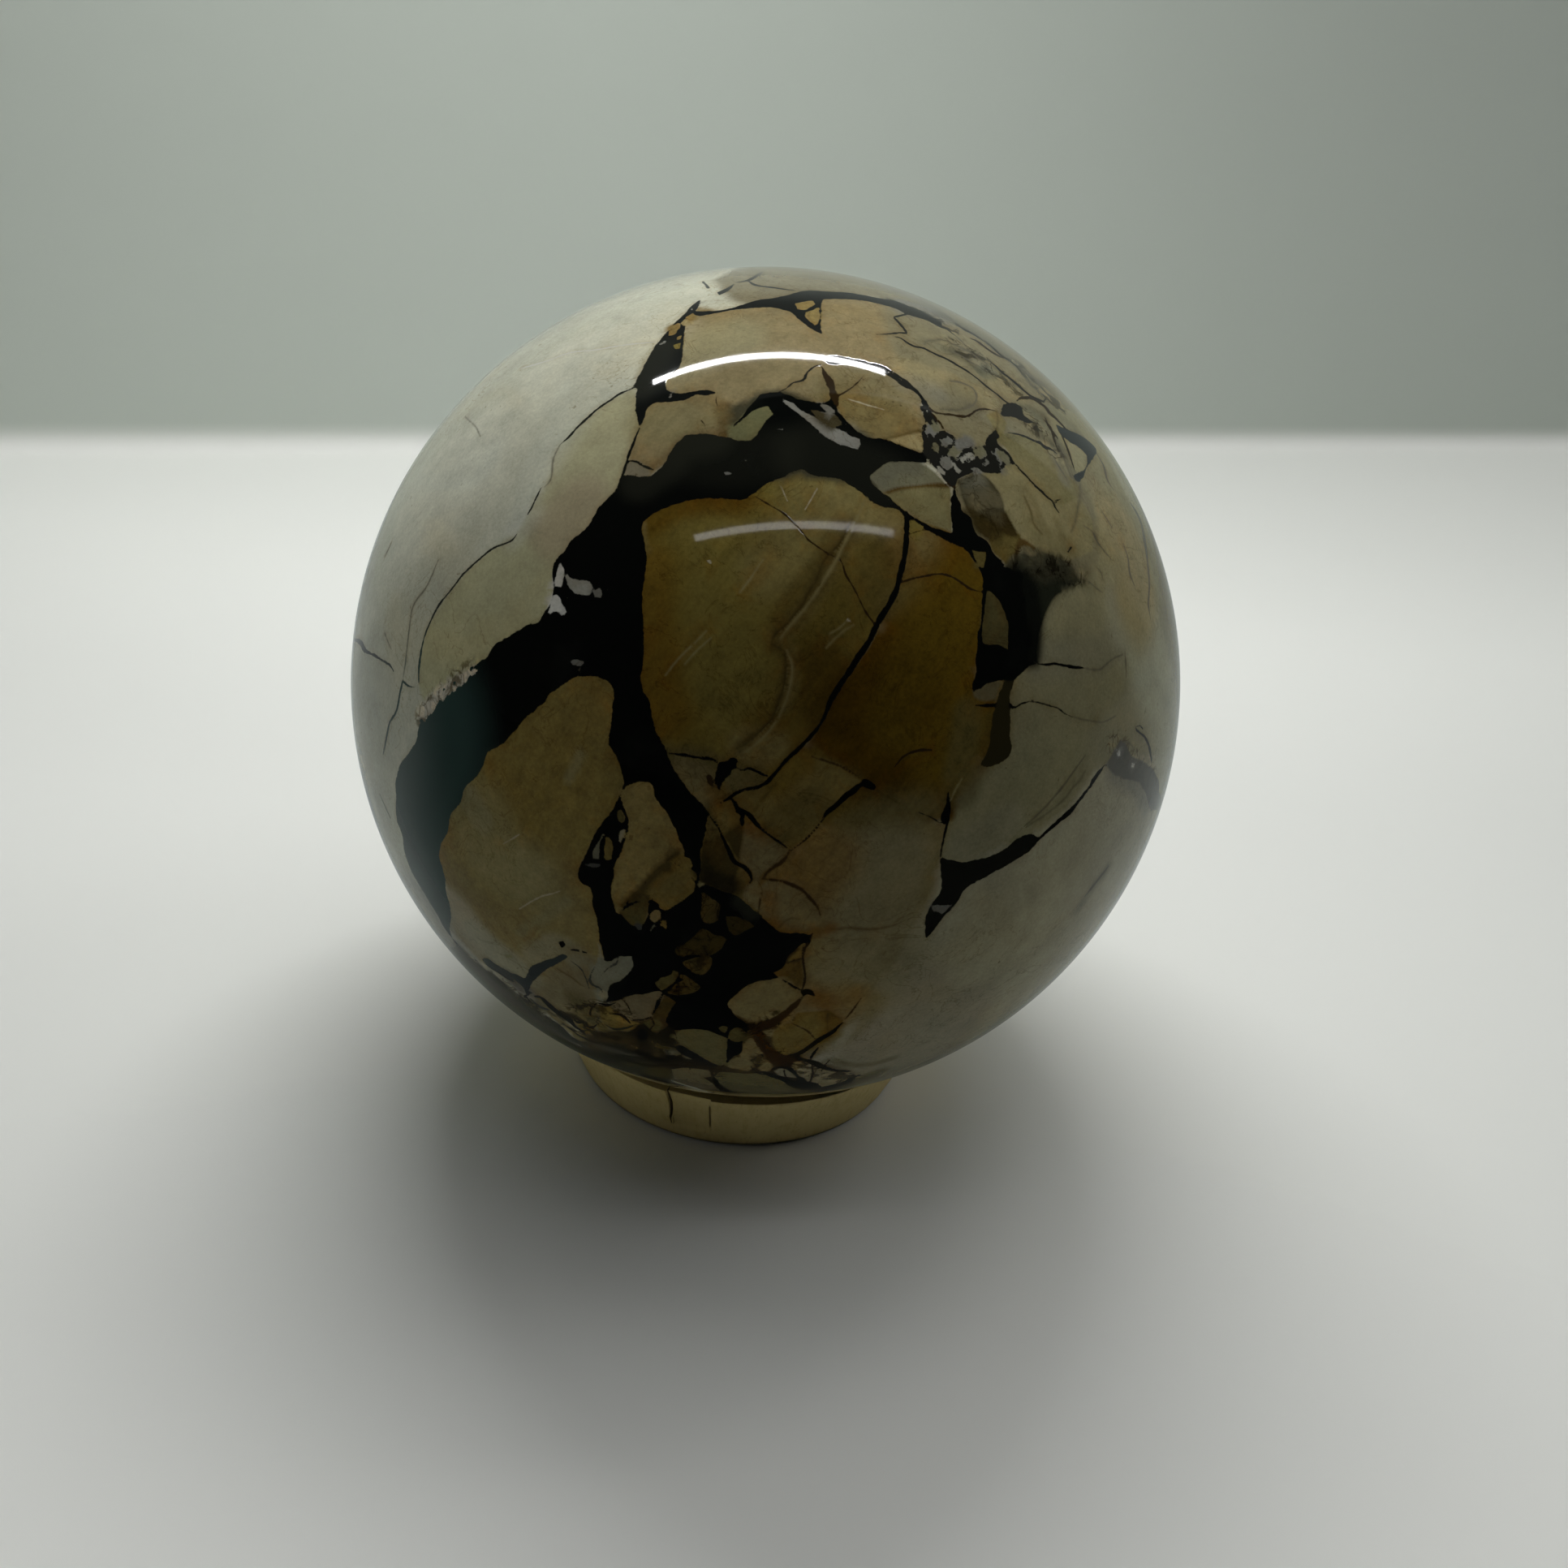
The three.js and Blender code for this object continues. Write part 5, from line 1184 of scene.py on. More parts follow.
def lattice(count, low, high, even=1.0):
    """Spread directions between two angles in degrees from the direction towards the camera.

    They are even on the sphere, or closer together towards the camera where the even share is below one.
    """
    i = np.arange(count) + 0.5
    steps = np.linspace(math.cos(math.radians(low)), math.cos(math.radians(high)), 2001)
    amount = even * (steps[0] - steps) + (1 - even) * (steps[0] ** 2 - steps**2) / 2
    c = np.interp(i / count * amount[-1], amount, steps)
    turn = i * math.pi * (3 - math.sqrt(5))
    s = np.sqrt(np.maximum(1 - c * c, 0))
    x = np.cross([0.0, 0.0, 1.0], TOWARDS_CAMERA)
    x /= np.linalg.norm(x)
    y = np.cross(TOWARDS_CAMERA, x)
    return np.outer(c, TOWARDS_CAMERA) + np.outer(s * np.cos(turn), x) + np.outer(s * np.sin(turn), y)


def unit(v):
    return v / np.linalg.norm(v, axis=-1, keepdims=True)


def sphere_triangles(points):
    """Triangles between points of the sphere: flat Delaunay on the map that looks up from its lowest point."""
    flat = 2 * points[:, :2] / (1 + points[:, 2:3])
    made = delaunay_2d_cdt([Vector(v) for v in flat.tolist()], [], [], 0, 1e-7, True)
    triangles = np.array([f for f in made[2] if len(f) == 3])
    source = np.array([o[0] for o in made[3]])
    return source[triangles]


def hidden_network(rng):
    """Seeds of the clasts that the camera doesn't see, and the borders between their cells.

    A border is the numbers of its two seeds and of the two junctions at its ends, and the junctions' directions.
    """
    seeds = lattice(HIDDEN_CLASTS, SEAM_HIDDEN + 2, 179)
    seeds = unit(seeds + rng.normal(0, HIDDEN_SCATTER, seeds.shape))
    push = np.maximum(SEAM_HIDDEN - off_camera_axis(seeds), 0)
    seeds = np.array([tilted(s, -p) for s, p in zip(seeds, push)])
    seen = lattice(SEEN_SEEDS, 20, SEAM_SEEN + 4)
    seen = unit(seen + rng.normal(0, SEEN_SCATTER, seen.shape))
    seen = seen[off_camera_axis(seen) < SEAM_SEEN + 6]
    every = np.r_[seeds, seen]
    corners, edges = [], {}
    for t, (a, b, c) in enumerate(hull_triangles(every)):
        n = np.cross(every[b] - every[a], every[c] - every[a])
        n /= np.linalg.norm(n)
        corners.append(-n if n @ every[a] < 0 else n)
        for pair in ((a, b), (b, c), (c, a)):
            edges.setdefault((min(pair), max(pair)), []).append(t)
    borders = []
    for (a, b), pair in edges.items():
        if len(pair) == 2 and a < len(seeds):
            borders.append((a, b, *pair, *(corners[t] for t in pair)))
    return seeds, borders


def tilted(direction, degrees):
    """A direction turned away from the camera's by an angle; negative turns it further away."""
    axis = np.cross(TOWARDS_CAMERA, direction)
    axis /= max(np.linalg.norm(axis), ALMOST_ZERO)
    a = math.radians(-degrees)
    turned = direction * math.cos(a) + np.cross(axis, direction) * math.sin(a)
    return turned + axis * (axis @ direction) * (1 - math.cos(a))


def hull_triangles(points):
    """Delaunay triangles of a few points on the whole sphere, by testing every triple's empty circle."""
    n = len(points)
    found = []
    for a in range(n):
        for b in range(a + 1, n):
            if points[a] @ points[b] < NEIGHBOUR:
                continue
            cs = np.arange(b + 1, n)
            cs = cs[(points[cs] @ points[a] > NEIGHBOUR) & (points[cs] @ points[b] > NEIGHBOUR)]
            for c in cs:
                normal = np.cross(points[b] - points[a], points[c] - points[a])
                side = points @ normal - points[a] @ normal
                side[[a, b, c]] = 0
                if (side < ALMOST_ZERO).all() or (side > -ALMOST_ZERO).all():
                    found.append((a, b, c))
    return found


def great_arc(a, b, count):
    angle = math.acos(max(-1, min(1, float(a @ b))))
    t = np.linspace(0, 1, count)[:, None]
    if angle < 1e-6:
        return np.repeat(a[None], count, 0)
    return (np.sin((1 - t) * angle) * a + np.sin(t * angle) * b) / math.sin(angle)


def wandering(a, b, amount, rng):
    """An irregular path between two directions: a great arc broken up by halves."""
    path = [a, b]
    while np.linalg.norm(path[1] - path[0]) * SPHERE_RADIUS > WANDER_STEP:
        finer = [path[0]]
        for p, q in zip(path, path[1:]):
            m = (p + q) / 2
            m = m / np.linalg.norm(m)
            side = np.cross(m, q - p)
            m = unit(m + side * rng.normal(0, amount))
            finer += [m, q]
        path = finer
        amount *= WANDER_EASE
    dense = []
    for p, q in zip(path, path[1:]):
        dense.append(great_arc(p, q, WANDER_POINTS + 1)[:-1])
    return np.r_[np.concatenate(dense), path[-1][None]]


def hidden_colour(rng, low, high):
    """A colour of the unseen side, a little darker or lighter."""
    return np.array(HIDDEN_PALETTE[int(rng.integers(len(HIDDEN_PALETTE)))]) * rng.uniform(low, high)


def hidden_clasts(seeds, veins, rng):
    """The clast round each seed, inside the closed walk along its borders."""
    found = []
    for s in range(len(seeds)):
        around = {}
        for a, b, ta, tb, path, _ in veins:
            if s in (a, b):
                around.setdefault(ta, []).append((tb, path))
                around.setdefault(tb, []).append((ta, path[::-1]))
        if not around or any(len(ways) != 2 for ways in around.values()):
            continue
        start = next(iter(around))
        here, came, outline = start, None, []
        while here != start or not outline:
            onward, path = next((t, p) for t, p in around[here] if t != came)
            outline.append(path[:-1])
            came, here = here, onward
        world = np.concatenate(outline)[::2]
        colour = hidden_colour(rng, 0.85, 1.12)
        found.append(Feature("clast", world, closed=True, colour=colour, feather=HIDDEN_FEATHER, rng=rng))
    return found


def hidden_vein(path, half_width, sizes, rng):
    """A vein of random width along a border, wider towards the junctions at its ends."""
    share = np.linspace(0, 1, len(path))
    run = np.linalg.norm(np.diff(path, axis=0), axis=1).sum() * SPHERE_RADIUS
    wave = np.interp(share, np.linspace(0, 1, VEIN_SWELLS), rng.uniform(0.45, 1.45, VEIN_SWELLS))
    half = half_width * wave
    for size, place in zip(sizes, (share * run, (1 - share) * run)):
        half = np.maximum(half, size * np.clip(1 - place / (1.6 + 1.3 * size), 0, 1) ** 1.5)
    ink = "k" if half_width > BLACK_VEIN or rng.random() < 0.45 else ("b" if rng.random() < 0.4 else "d")
    crumb = 0.25 if half_width > CRUMBLY_VEIN else 0.0
    return Feature("dark", path, half_width=half, rough=0.05, rng=rng, ink=ink, crumb=crumb)


def hidden_hairlines(seeds, rng):
    """Short thin cracks at random places of the unseen side."""
    found = []
    for _ in range(HAIRLINES):
        s = seeds[int(rng.integers(len(seeds)))]
        start = unit(s + rng.normal(0, 0.13, 3))
        if off_camera_axis(start[None])[0] < SEAM_HIDDEN - 2:
            continue
        heading = unit(np.cross(start, rng.normal(0, 1, 3)))
        end = unit(start + heading * rng.uniform(0.05, 0.2))
        path = wandering(start, end, HAIRLINE_WANDER, rng)
        half = np.linspace(rng.uniform(0.05, 0.12), 0.03, len(path))
        ink = str(rng.choice(HAIRLINE_INKS))
        found.append(Feature("dark", path, half_width=half, rough=CRACK_ROUGH, rng=rng, ink=ink, crumb=0.0))
    return found


def hidden_junction(place, size, rng):
    """A crushed zone round a junction, with small fragments in it."""
    away = unit(place + rng.normal(0, 0.05, 3))
    zone = great_arc(place, away, 6)
    half_width = np.full(len(zone), 0.4 * size)
    found = [Feature("crush", zone, half_width=half_width, rng=rng, strength=0.8, soft=1.0)]
    for _ in range(int(rng.integers(2, 5 if size < BUSY_JUNCTION else 8))):
        centre = unit(place + rng.normal(0, 0.018 + 0.012 * size, 3))
        count = int(rng.integers(5, 8))
        turn = np.sort(rng.uniform(0, 2 * math.pi, count))
        radius = rng.uniform(0.25, 0.8) * (0.6 + 0.35 * size) * rng.uniform(0.6, 1.2, count)
        flat = np.c_[radius * np.cos(turn), radius * np.sin(turn)]
        dense, _ = smooth_line(flat, True, 0.25, 70)
        world = LocalMap(centre).round(dense)
        colour = hidden_colour(rng, 0.7, 1.1)
        found.append(Feature("piece", world, closed=True, rough=PIECE_ROUGH, rng=rng, colour=colour))
    return found


def hidden_features(rng):
    """The markings of the unseen side, from the lowest to the topmost."""
    seeds, borders = hidden_network(rng)
    junctions, veins = {}, []
    for a, b, ta, tb, first, last in borders:
        for t in (ta, tb):
            if t not in junctions:
                junctions[t] = rng.choice(JUNCTION_SIZES)
        path = wandering(first, last, VEIN_WANDER, rng)
        veins.append((a, b, ta, tb, path, rng.choice(VEIN_HALF_WIDTHS)))
    features = hidden_clasts(seeds, veins, rng)
    for _, _, ta, tb, path, half_width in veins:
        features.append(hidden_vein(path, half_width, (junctions[ta], junctions[tb]), rng))
    features += hidden_hairlines(seeds, rng)
    for t, size in junctions.items():
        if size >= CRUSHED_JUNCTION:
            place = next(p[0] if ta == t else p[-1] for _, _, ta, tb, p, _ in veins if t in (ta, tb))
            features += hidden_junction(place, size, rng)
    return features


def seen_features(rng):
    """The markings of the seen side, from the lowest to the topmost."""
    features = []
    for clasts, clast_tints in ((CLASTS, TINTS), (CHIPS, CHIP_TINTS)):
        for colour, feather, *words in table(clasts):
            look = {"colour": STONE[colour], "feather": float(feather)}
            features.append(picture_outline(words, CLAST_ROUGH, rng, "clast", **look))
        features += tints("tint", clast_tints, rng)
    for ink, rough, *words in table(BODIES):
        crumb = float(rough)
        features.append(picture_outline(words, crumb * BODY_ROUGH_SHARE, rng, "dark", ink=ink, crumb=crumb))
    for colour, *words in table(PIECES):
        features.append(picture_outline(words, PIECE_ROUGH, rng, "piece", colour=STONE[colour]))
    for ink, *words in table(CRACKS):
        features.append(picture_crack(words, ink, rng))
    # The ink tints include a painted reflection: a teal-grey veil on the left black band
    features += tints("ink_tint", INK_TINTS, rng)
    for kind, zones in (("crumble", CRUMBLE), ("crush", CRUSH)):
        features += [soft_zone(kind, 0.0, rng, *row) for row in table(zones)]
    return features


def thinned(points, gap):
    """Drops points that share a small cell with an earlier one."""
    cells = np.floor(points * SPHERE_RADIUS / gap).astype(np.int64)
    key = cells[:, 0] * 73856093 ^ cells[:, 1] * 19349663 ^ cells[:, 2] * 83492791
    _, first = np.unique(key, return_index=True)
    return points[np.sort(first)]


def away_from(points, others, gap):
    """Points whose small cell and the cells round it hold no other one. The cells are a gap wide, in millimetres."""
    size = gap / SPHERE_RADIUS
    span = int(1 / size) + 4

    def code(cells):
        return ((cells[:, 0] + span) * (2 * span) + (cells[:, 1] + span)) * (2 * span) + (cells[:, 2] + span)

    known = np.unique(code(np.floor(others / size).astype(int)))
    base = np.floor(points / size).astype(int)
    taken = np.zeros(len(points), bool)
    for step in product((-1, 0, 1), repeat=3):
        want = code(base + np.array(step))
        place = np.clip(np.searchsorted(known, want), 0, len(known) - 1)
        taken |= known[place] == want
    return points[~taken]


def blend(values, at, colour, share):
    """Mixes a colour into some of the values."""
    values[at] = values[at] * (1 - share[:, None]) + np.array(colour) * share[:, None]


def paint(points, features):
    """Stone colour, vein colour, depth inside the nearest vein, crumbliness and crushing at each point."""
    n = len(points)
    stone = np.tile(np.array(STONE["CAP"]), (n, 1))
    ink = np.tile(np.array(INKS["k"]), (n, 1))
    depth = np.full(n, FAR_DEPTH)
    crumb = np.full(n, EVEN_EDGE)
    crush = np.zeros(n)
    for f in features:
        kind, extra = f.kind, f.extra
        near = f.nearby(points, extra.get("soft", 0.0) + extra.get("feather", 0.0))
        if not len(near):
            continue
        d = f.depth(points[near])
        if kind == "clast":
            half = extra["feather"] / 2
            blend(stone, near, extra["colour"], smoothstep(-half, half, d))
        elif kind == "piece":
            d = np.clip(d, FAR_DEPTH, -FAR_DEPTH)
            depth[near] = np.minimum(depth[near], -d)
            blend(stone, near, extra["colour"], smoothstep(*PIECE_EDGE, d))
        elif kind == "dark":
            d = np.clip(d, FAR_DEPTH, -FAR_DEPTH)
            over = d > depth[near]
            at = near[over]
            depth[at] = d[over]
            ink[at] = INKS[extra["ink"]]
            crumb[at] = np.maximum(EVEN_EDGE, extra["crumb"])
        else:
            share = smoothstep(-extra["soft"], 0.0, d) * extra["strength"]
            if kind == "tint":
                blend(stone, near, extra["colour"], share)
            elif kind == "ink_tint":
                blend(ink[:, :3], near, extra["colour"], share)
            else:
                zone = crumb if kind == "crumble" else crush
                zone[near] = np.maximum(zone[near], share)
    return stone, ink, depth, crumb, crush


def facing_out(points, triangles):
    """The triangles, each wound so that it faces away from the sphere's centre."""
    a, b, c = (points[triangles[:, k]] for k in range(3))
    inwards = np.einsum("ij,ij->i", np.cross(b - a, c - a), a + b + c) <= 0
    triangles[inwards] = triangles[inwards][:, ::-1]
    return triangles


def stone_mesh():
    """Unit points and triangles of the stone, and what paint() says about each point."""
    rng = np.random.default_rng(SEED)
    hidden = hidden_features(rng)
    seen = seen_features(rng)
    rows = [f.rows() for f in seen if f.has_edge()]
    rows += [f.rows(HIDDEN_ROW_STEP) for f in hidden if f.has_edge()]
    rows = thinned(np.concatenate(rows), CLOSEST_POINTS)
    plain = np.r_[lattice(FRONT_POINTS, 0, FRONT_REACH, FRONT_EVEN_SHARE), lattice(BACK_POINTS, FRONT_REACH, 180)]
    plain = away_from(plain, rows, ROW_CLEARANCE)
    points = unit(np.r_[rows, plain])
    points = points[points[:, 2] > POLE_CLEARED]
    turn = np.arange(POLE_POINTS) / POLE_POINTS * 2 * math.pi
    pole_height = -math.sqrt(1 - POLE_RADIUS * POLE_RADIUS)
    ring = np.c_[POLE_RADIUS * np.cos(turn), POLE_RADIUS * np.sin(turn), np.full(POLE_POINTS, pole_height)]
    points = np.r_[points, ring]
    triangles = facing_out(points, sphere_triangles(points))
    below = (points[triangles][:, :, 2] < POLE_INSIDE).all(1)
    # A fan of triangles closes the ring
    pole = len(points)
    points = np.r_[points, [[0.0, 0.0, -1.0]]]
    first = pole - POLE_POINTS
    fan = [[first + (i + 1) % POLE_POINTS, first + i, pole] for i in range(POLE_POINTS)]
    triangles = facing_out(points, np.r_[triangles[~below], np.array(fan)])
    used = np.unique(triangles)
    remap = np.full(len(points), -1)
    remap[used] = np.arange(len(used))
    points, triangles = points[used], remap[triangles]
    return points, triangles, paint(points, hidden + seen)


class Nodes:
    """Short ways to build a material's nodes."""

    def __init__(self, name):
        self.material = bpy.data.materials.new(name)
        self.material.use_nodes = True
        self.tree = self.material.node_tree
        self.tree.nodes.clear()
        self.shader = self.add("ShaderNodeBsdfPrincipled")
        output = self.add("ShaderNodeOutputMaterial")
        self.link(self.shader.outputs["BSDF"], output.inputs["Surface"])

    def add(self, kind, **values):
        node = self.tree.nodes.new(kind)
        for key, value in values.items():
            setattr(node, key, value)
        return node

    def link(self, a, b):
        self.tree.links.new(a, b)

    def put(self, socket, value):
        if isinstance(value, bpy.types.NodeSocket):
            self.link(value, socket)
        elif value is not None:
            socket.default_value = value

    def surface(self, **inputs):
        """Sets the shader's inputs, whose names are written with underscores here."""
        for name, value in inputs.items():
            self.put(self.shader.inputs[name.replace("_", " ")], value)

    def bump(self, height, strength, distance):
        """Relief of the surface, with its height in metres."""
        node = self.add("ShaderNodeBump")
        node.inputs["Strength"].default_value = strength
        node.inputs["Distance"].default_value = distance
        self.link(height, node.inputs["Height"])
        return node.outputs["Normal"]

    def math(self, operation, a, b=None, c=None):
        node = self.add("ShaderNodeMath", operation=operation)
        for socket, value in zip(node.inputs, (a, b, c)):
            self.put(socket, value)
        return node.outputs[0]

    def times(self, first, *others):
        """Product of two or more values."""
        for other in others:
            first = self.math("MULTIPLY", first, other)
        return first

    def plus(self, first, *others):
        """Sum of two or more values."""
        for other in others:
            first = self.math("ADD", first, other)
        return first

    def off_middle(self, noise):
        """A noise around zero."""
        return self.math("SUBTRACT", noise, 0.5)

    def mix(self, share, a, b, blend="MIX"):
        node = self.add("ShaderNodeMix", data_type="RGBA", blend_type=blend)
        self.put(node.inputs[0], share)
        for socket, value in ((node.inputs[6], a), (node.inputs[7], b)):
            self.put(socket, (*value, 1.0) if isinstance(value, tuple) else value)
        return node.outputs[2]

    def tinted(self, share, colour, tint):
        """The colour, multiplied by a tint to some share."""
        return self.mix(share, colour, self.mix(1.0, colour, tint, "MULTIPLY"))

    def ramp(self, value, low, high, to_low=0.0, to_high=1.0, kind="SMOOTHSTEP"):
        node = self.add("ShaderNodeMapRange", interpolation_type=kind)
        for socket, v in zip(node.inputs, (value, low, high, to_low, to_high)):
            self.put(socket, v)
        return node.outputs[0]

    def swing(self, noise, low, high, darker, lighter):
        """An even change of tone from darker to lighter between two values of a noise."""
        return self.ramp(noise, low, high, darker, lighter, "LINEAR")

    def place(self, scale=(1.0, 1.0, 1.0), turn=(0.0, 0.0, 0.0)):
        where = self.add("ShaderNodeTexCoord").outputs["Object"]
        node = self.add("ShaderNodeMapping")
        self.link(where, node.inputs["Vector"])
        node.inputs["Scale"].default_value = scale
        node.inputs["Rotation"].default_value = turn
        return node.outputs["Vector"]

    def stretched(self, direction, along, across):
        """Object coordinates for streaks: one scale along a direction and another across it."""
        axis = Vector(direction).normalized()
        side = axis.orthogonal().normalized()
        where = self.add("ShaderNodeTexCoord").outputs["Object"]
        joined = self.add("ShaderNodeCombineXYZ")
        for socket, vector, scale in zip(joined.inputs, (axis, side, axis.cross(side)), (along, across, across)):
            dot = self.add("ShaderNodeVectorMath", operation="DOT_PRODUCT")
            self.link(where, dot.inputs[0])
            dot.inputs[1].default_value = vector * scale
            self.link(dot.outputs["Value"], socket)
        return joined.outputs[0]

    def noise(self, scale, detail=3.0, rough=0.5, where=None, twist=0.0):
        node = self.add("ShaderNodeTexNoise")
        self.put(node.inputs["Vector"], where or self.place())
        node.inputs["Scale"].default_value = scale
        node.inputs["Detail"].default_value = detail
        node.inputs["Roughness"].default_value = rough
        node.inputs["Distortion"].default_value = twist
        return node.outputs["Fac"]

    def attribute(self, name, output="Fac"):
        return self.add("ShaderNodeAttribute", attribute_name=name).outputs[output]


# Direction of the fine streaks in the stone
STREAK_DIRECTION = (0.55, 0.40, 0.74)
# What the stone's colour is multiplied by where it is stained, streaked or crushed
WARM_DRIFT = (1.08, 0.90, 0.62)
COOL_DRIFT = (0.95, 1.03, 1.12)
RUST = (1.20, 0.80, 0.42)
HAIRLINE = (0.50, 0.44, 0.34)
PALE_STREAK = (1.35, 1.33, 1.28)
SPECK = (0.38, 0.32, 0.22)
PALE_GRAIN = (1.60, 1.50, 1.34)
DARK_GRAIN = (0.22, 0.19, 0.13)
BROWN_WEB = (0.20, 0.14, 0.07)
VEIN_MARGIN = (0.62, 0.50, 0.36)
# Colours inside the dark veins
VEIN_SMOKE = (0.020, 0.023, 0.018)
VEIN_CRUMB = (0.10, 0.09, 0.06)


def clouded(n, stone, earthy):
    """The stone's colour with cloudy mottling in three sizes, stronger in earthy stone."""
    cloud = n.swing(n.noise(110, 4, 0.55, twist=0.6), 0.25, 0.75, -0.15, 0.13)
    patch = n.swing(n.noise(480, 6, 0.68), 0.28, 0.72, -0.13, 0.12)
    grain = n.swing(n.noise(4200, 3, 0.7), 0.28, 0.72, -0.12, 0.12)
    even = n.plus(cloud, patch, grain)
    mottle = n.swing(n.noise(700, 5, 0.7, twist=0.8), 0.28, 0.72, -0.14, 0.12)
    sand = n.swing(n.noise(3300, 3, 0.7), 0.25, 0.75, -0.14, 0.13)
    brushed = n.noise(1.0, 5, 0.6, where=n.stretched(STREAK_DIRECTION, 170, 1300), twist=0.4)
    rough = n.plus(mottle, sand, n.swing(brushed, 0.30, 0.70, -0.14, 0.13))
    shade = n.math("MULTIPLY_ADD", rough, earthy, n.plus(even, 1.0))
    grey = n.add("ShaderNodeCombineColor")
    for socket in grey.inputs:
        n.link(shade, socket)
    return n.mix(1.0, stone, grey.outputs[0], "MULTIPLY")


def stained(n, stone, earthy, depth):
    """The stone's colour with drifts, rust, hairlines, streaks and specks."""
    drift = n.noise(70, 3, 0.5, twist=1.2)
    stone = n.tinted(n.ramp(drift, 0.50, 0.72, 0.0, 0.26), stone, WARM_DRIFT)
    stone = n.tinted(n.ramp(drift, 0.48, 0.28, 0.0, 0.30), stone, COOL_DRIFT)
    # Rusty bloom in earthy stone, mostly towards the veins
    near_vein = n.ramp(depth, -1.55, -0.15, 0.15, 1.0)
    bloom = n.ramp(n.noise(330, 5, 0.68, twist=0.9), 0.44, 0.68)
    stone = n.tinted(n.times(near_vein, bloom, n.times(earthy, 0.45)), stone, RUST)
    # Faint brown hairlines, in some places only
    wander = n.math("ABSOLUTE", n.off_middle(n.noise(260, 5, 0.55, twist=1.4)))
    hair = n.times(n.ramp(wander, 0.014, 0.0, 0.0, 0.5), n.ramp(n.noise(75, 3), 0.42, 0.56))
    stone = n.tinted(hair, stone, HAIRLINE)
    # Faint pale healed streaks and a sprinkle of dark specks
    healed = n.noise(1.0, 5, 0.62, where=n.stretched(STREAK_DIRECTION, 90, 420), twist=0.8)
    stone = n.tinted(n.ramp(healed, 0.60, 0.72, 0.0, 0.20), stone, PALE_STREAK)
    fleck = n.ramp(n.noise(1900, 2, 0.5), 0.69, 0.74, 0.0, 0.55)
    chosen = n.ramp(n.noise(240, 2), 0.50, 0.62)
    return n.tinted(n.times(fleck, chosen), stone, SPECK)


def crushed(n, stone, crush):
    """The stone's colour with small pale and dark grains and a brown web between them where it is crushed."""
    grains = n.noise(760, 4, 0.62, twist=0.5)
    amount = n.ramp(crush, 0.02, 0.5)
    pale = n.times(n.ramp(grains, 0.47, 0.38, 0.0, 0.55), amount)
    stone = n.tinted(pale, stone, PALE_GRAIN)
    murk = n.times(n.ramp(n.math("MULTIPLY_ADD", crush, 0.14, grains), 0.56, 0.68, 0.0, 0.85), amount)
    stone = n.tinted(murk, stone, DARK_GRAIN)
    web = n.math("ABSOLUTE", n.off_middle(n.noise(420, 3, 0.5, twist=0.8)))
    return n.tinted(n.times(n.ramp(web, 0.020, 0.004, 0.0, 0.7), amount), stone, BROWN_WEB)


def stone_material():
    n = Nodes("polished_agate")
    stone = n.attribute("stone", "Color")
    ink = n.attribute("ink", "Color")
    solid = n.attribute("ink", "Alpha")
    depth = n.attribute("vein_depth")
    crumb = n.attribute("crumble")

    # How earthy the stone is, from 0 for the white clasts to 1 for the olive and ochre ones
    parts = n.add("ShaderNodeSeparateColor")
    n.link(stone, parts.inputs[0])
    earthy = n.ramp(n.math("DIVIDE", parts.outputs[2], parts.outputs[0]), 0.62, 0.20)
    stone = clouded(n, stone, earthy)
    stone = stained(n, stone, earthy, depth)
    stone = crushed(n, stone, n.attribute("crush"))

    # The vein's edge wanders a little, and more where the stone is crumbled
    fine = n.off_middle(n.noise(2300, 3, 0.6))
    coarse = n.off_middle(n.noise(900, 4, 0.65))
    edge = n.plus(depth, n.plus(n.times(fine, 0.16), n.times(coarse, crumb, 4.0)))
    # A line that isn't solid is softer at its edges and fainter
    spread = n.math("MULTIPLY_ADD", n.math("SUBTRACT", 1.0, solid), 0.36, 0.045)
    strength = n.math("MULTIPLY_ADD", solid, 0.45, 0.55)
    mask = n.times(n.ramp(edge, n.times(spread, -1.0), spread), strength)
    # A thin stained margin outside the veins
    margin = n.times(n.ramp(edge, -0.55, -0.02, 0.0, 0.32), solid, n.ramp(n.noise(500, 3), 0.35, 0.65))
    stone = n.tinted(margin, stone, VEIN_MARGIN)

    # Dark veins: nearly black, with smoky lighter drifts and small pale crumbs
    smoke = n.times(n.ramp(n.noise(260, 4, 0.6), 0.55, 0.80, 0.0, 0.22), solid)
    ink = n.mix(smoke, ink, VEIN_SMOKE)
    bits = n.times(n.ramp(n.noise(1500, 3, 0.7), 0.72, 0.76, 0.0, 0.35), solid)
    ink = n.mix(n.times(bits, n.ramp(depth, 0.7, 0.2)), ink, VEIN_CRUMB)

    # Polish: glassy, with faint wipe marks. Vein stone polishes a hair lower than the clasts
    wipe = n.noise(1.0, 4, 0.6, where=n.place((60, 60, 300), (0.7, 0.2, 0.4)))
    relief = n.plus(n.times(mask, -0.6), n.times(n.noise(900, 2), 0.15))
    n.surface(Base_Color=n.mix(mask, stone, ink), Roughness=n.ramp(wipe, 0.35, 0.75, 0.035, 0.085), IOR=1.54,
              Specular_IOR_Level=0.24, Normal=n.bump(relief, 0.10, 0.00003))
    return n.material


def shown(name, mesh):
    """A new object of the scene."""
    item = bpy.data.objects.new(name, mesh)
    bpy.context.scene.collection.objects.link(item)
    return item


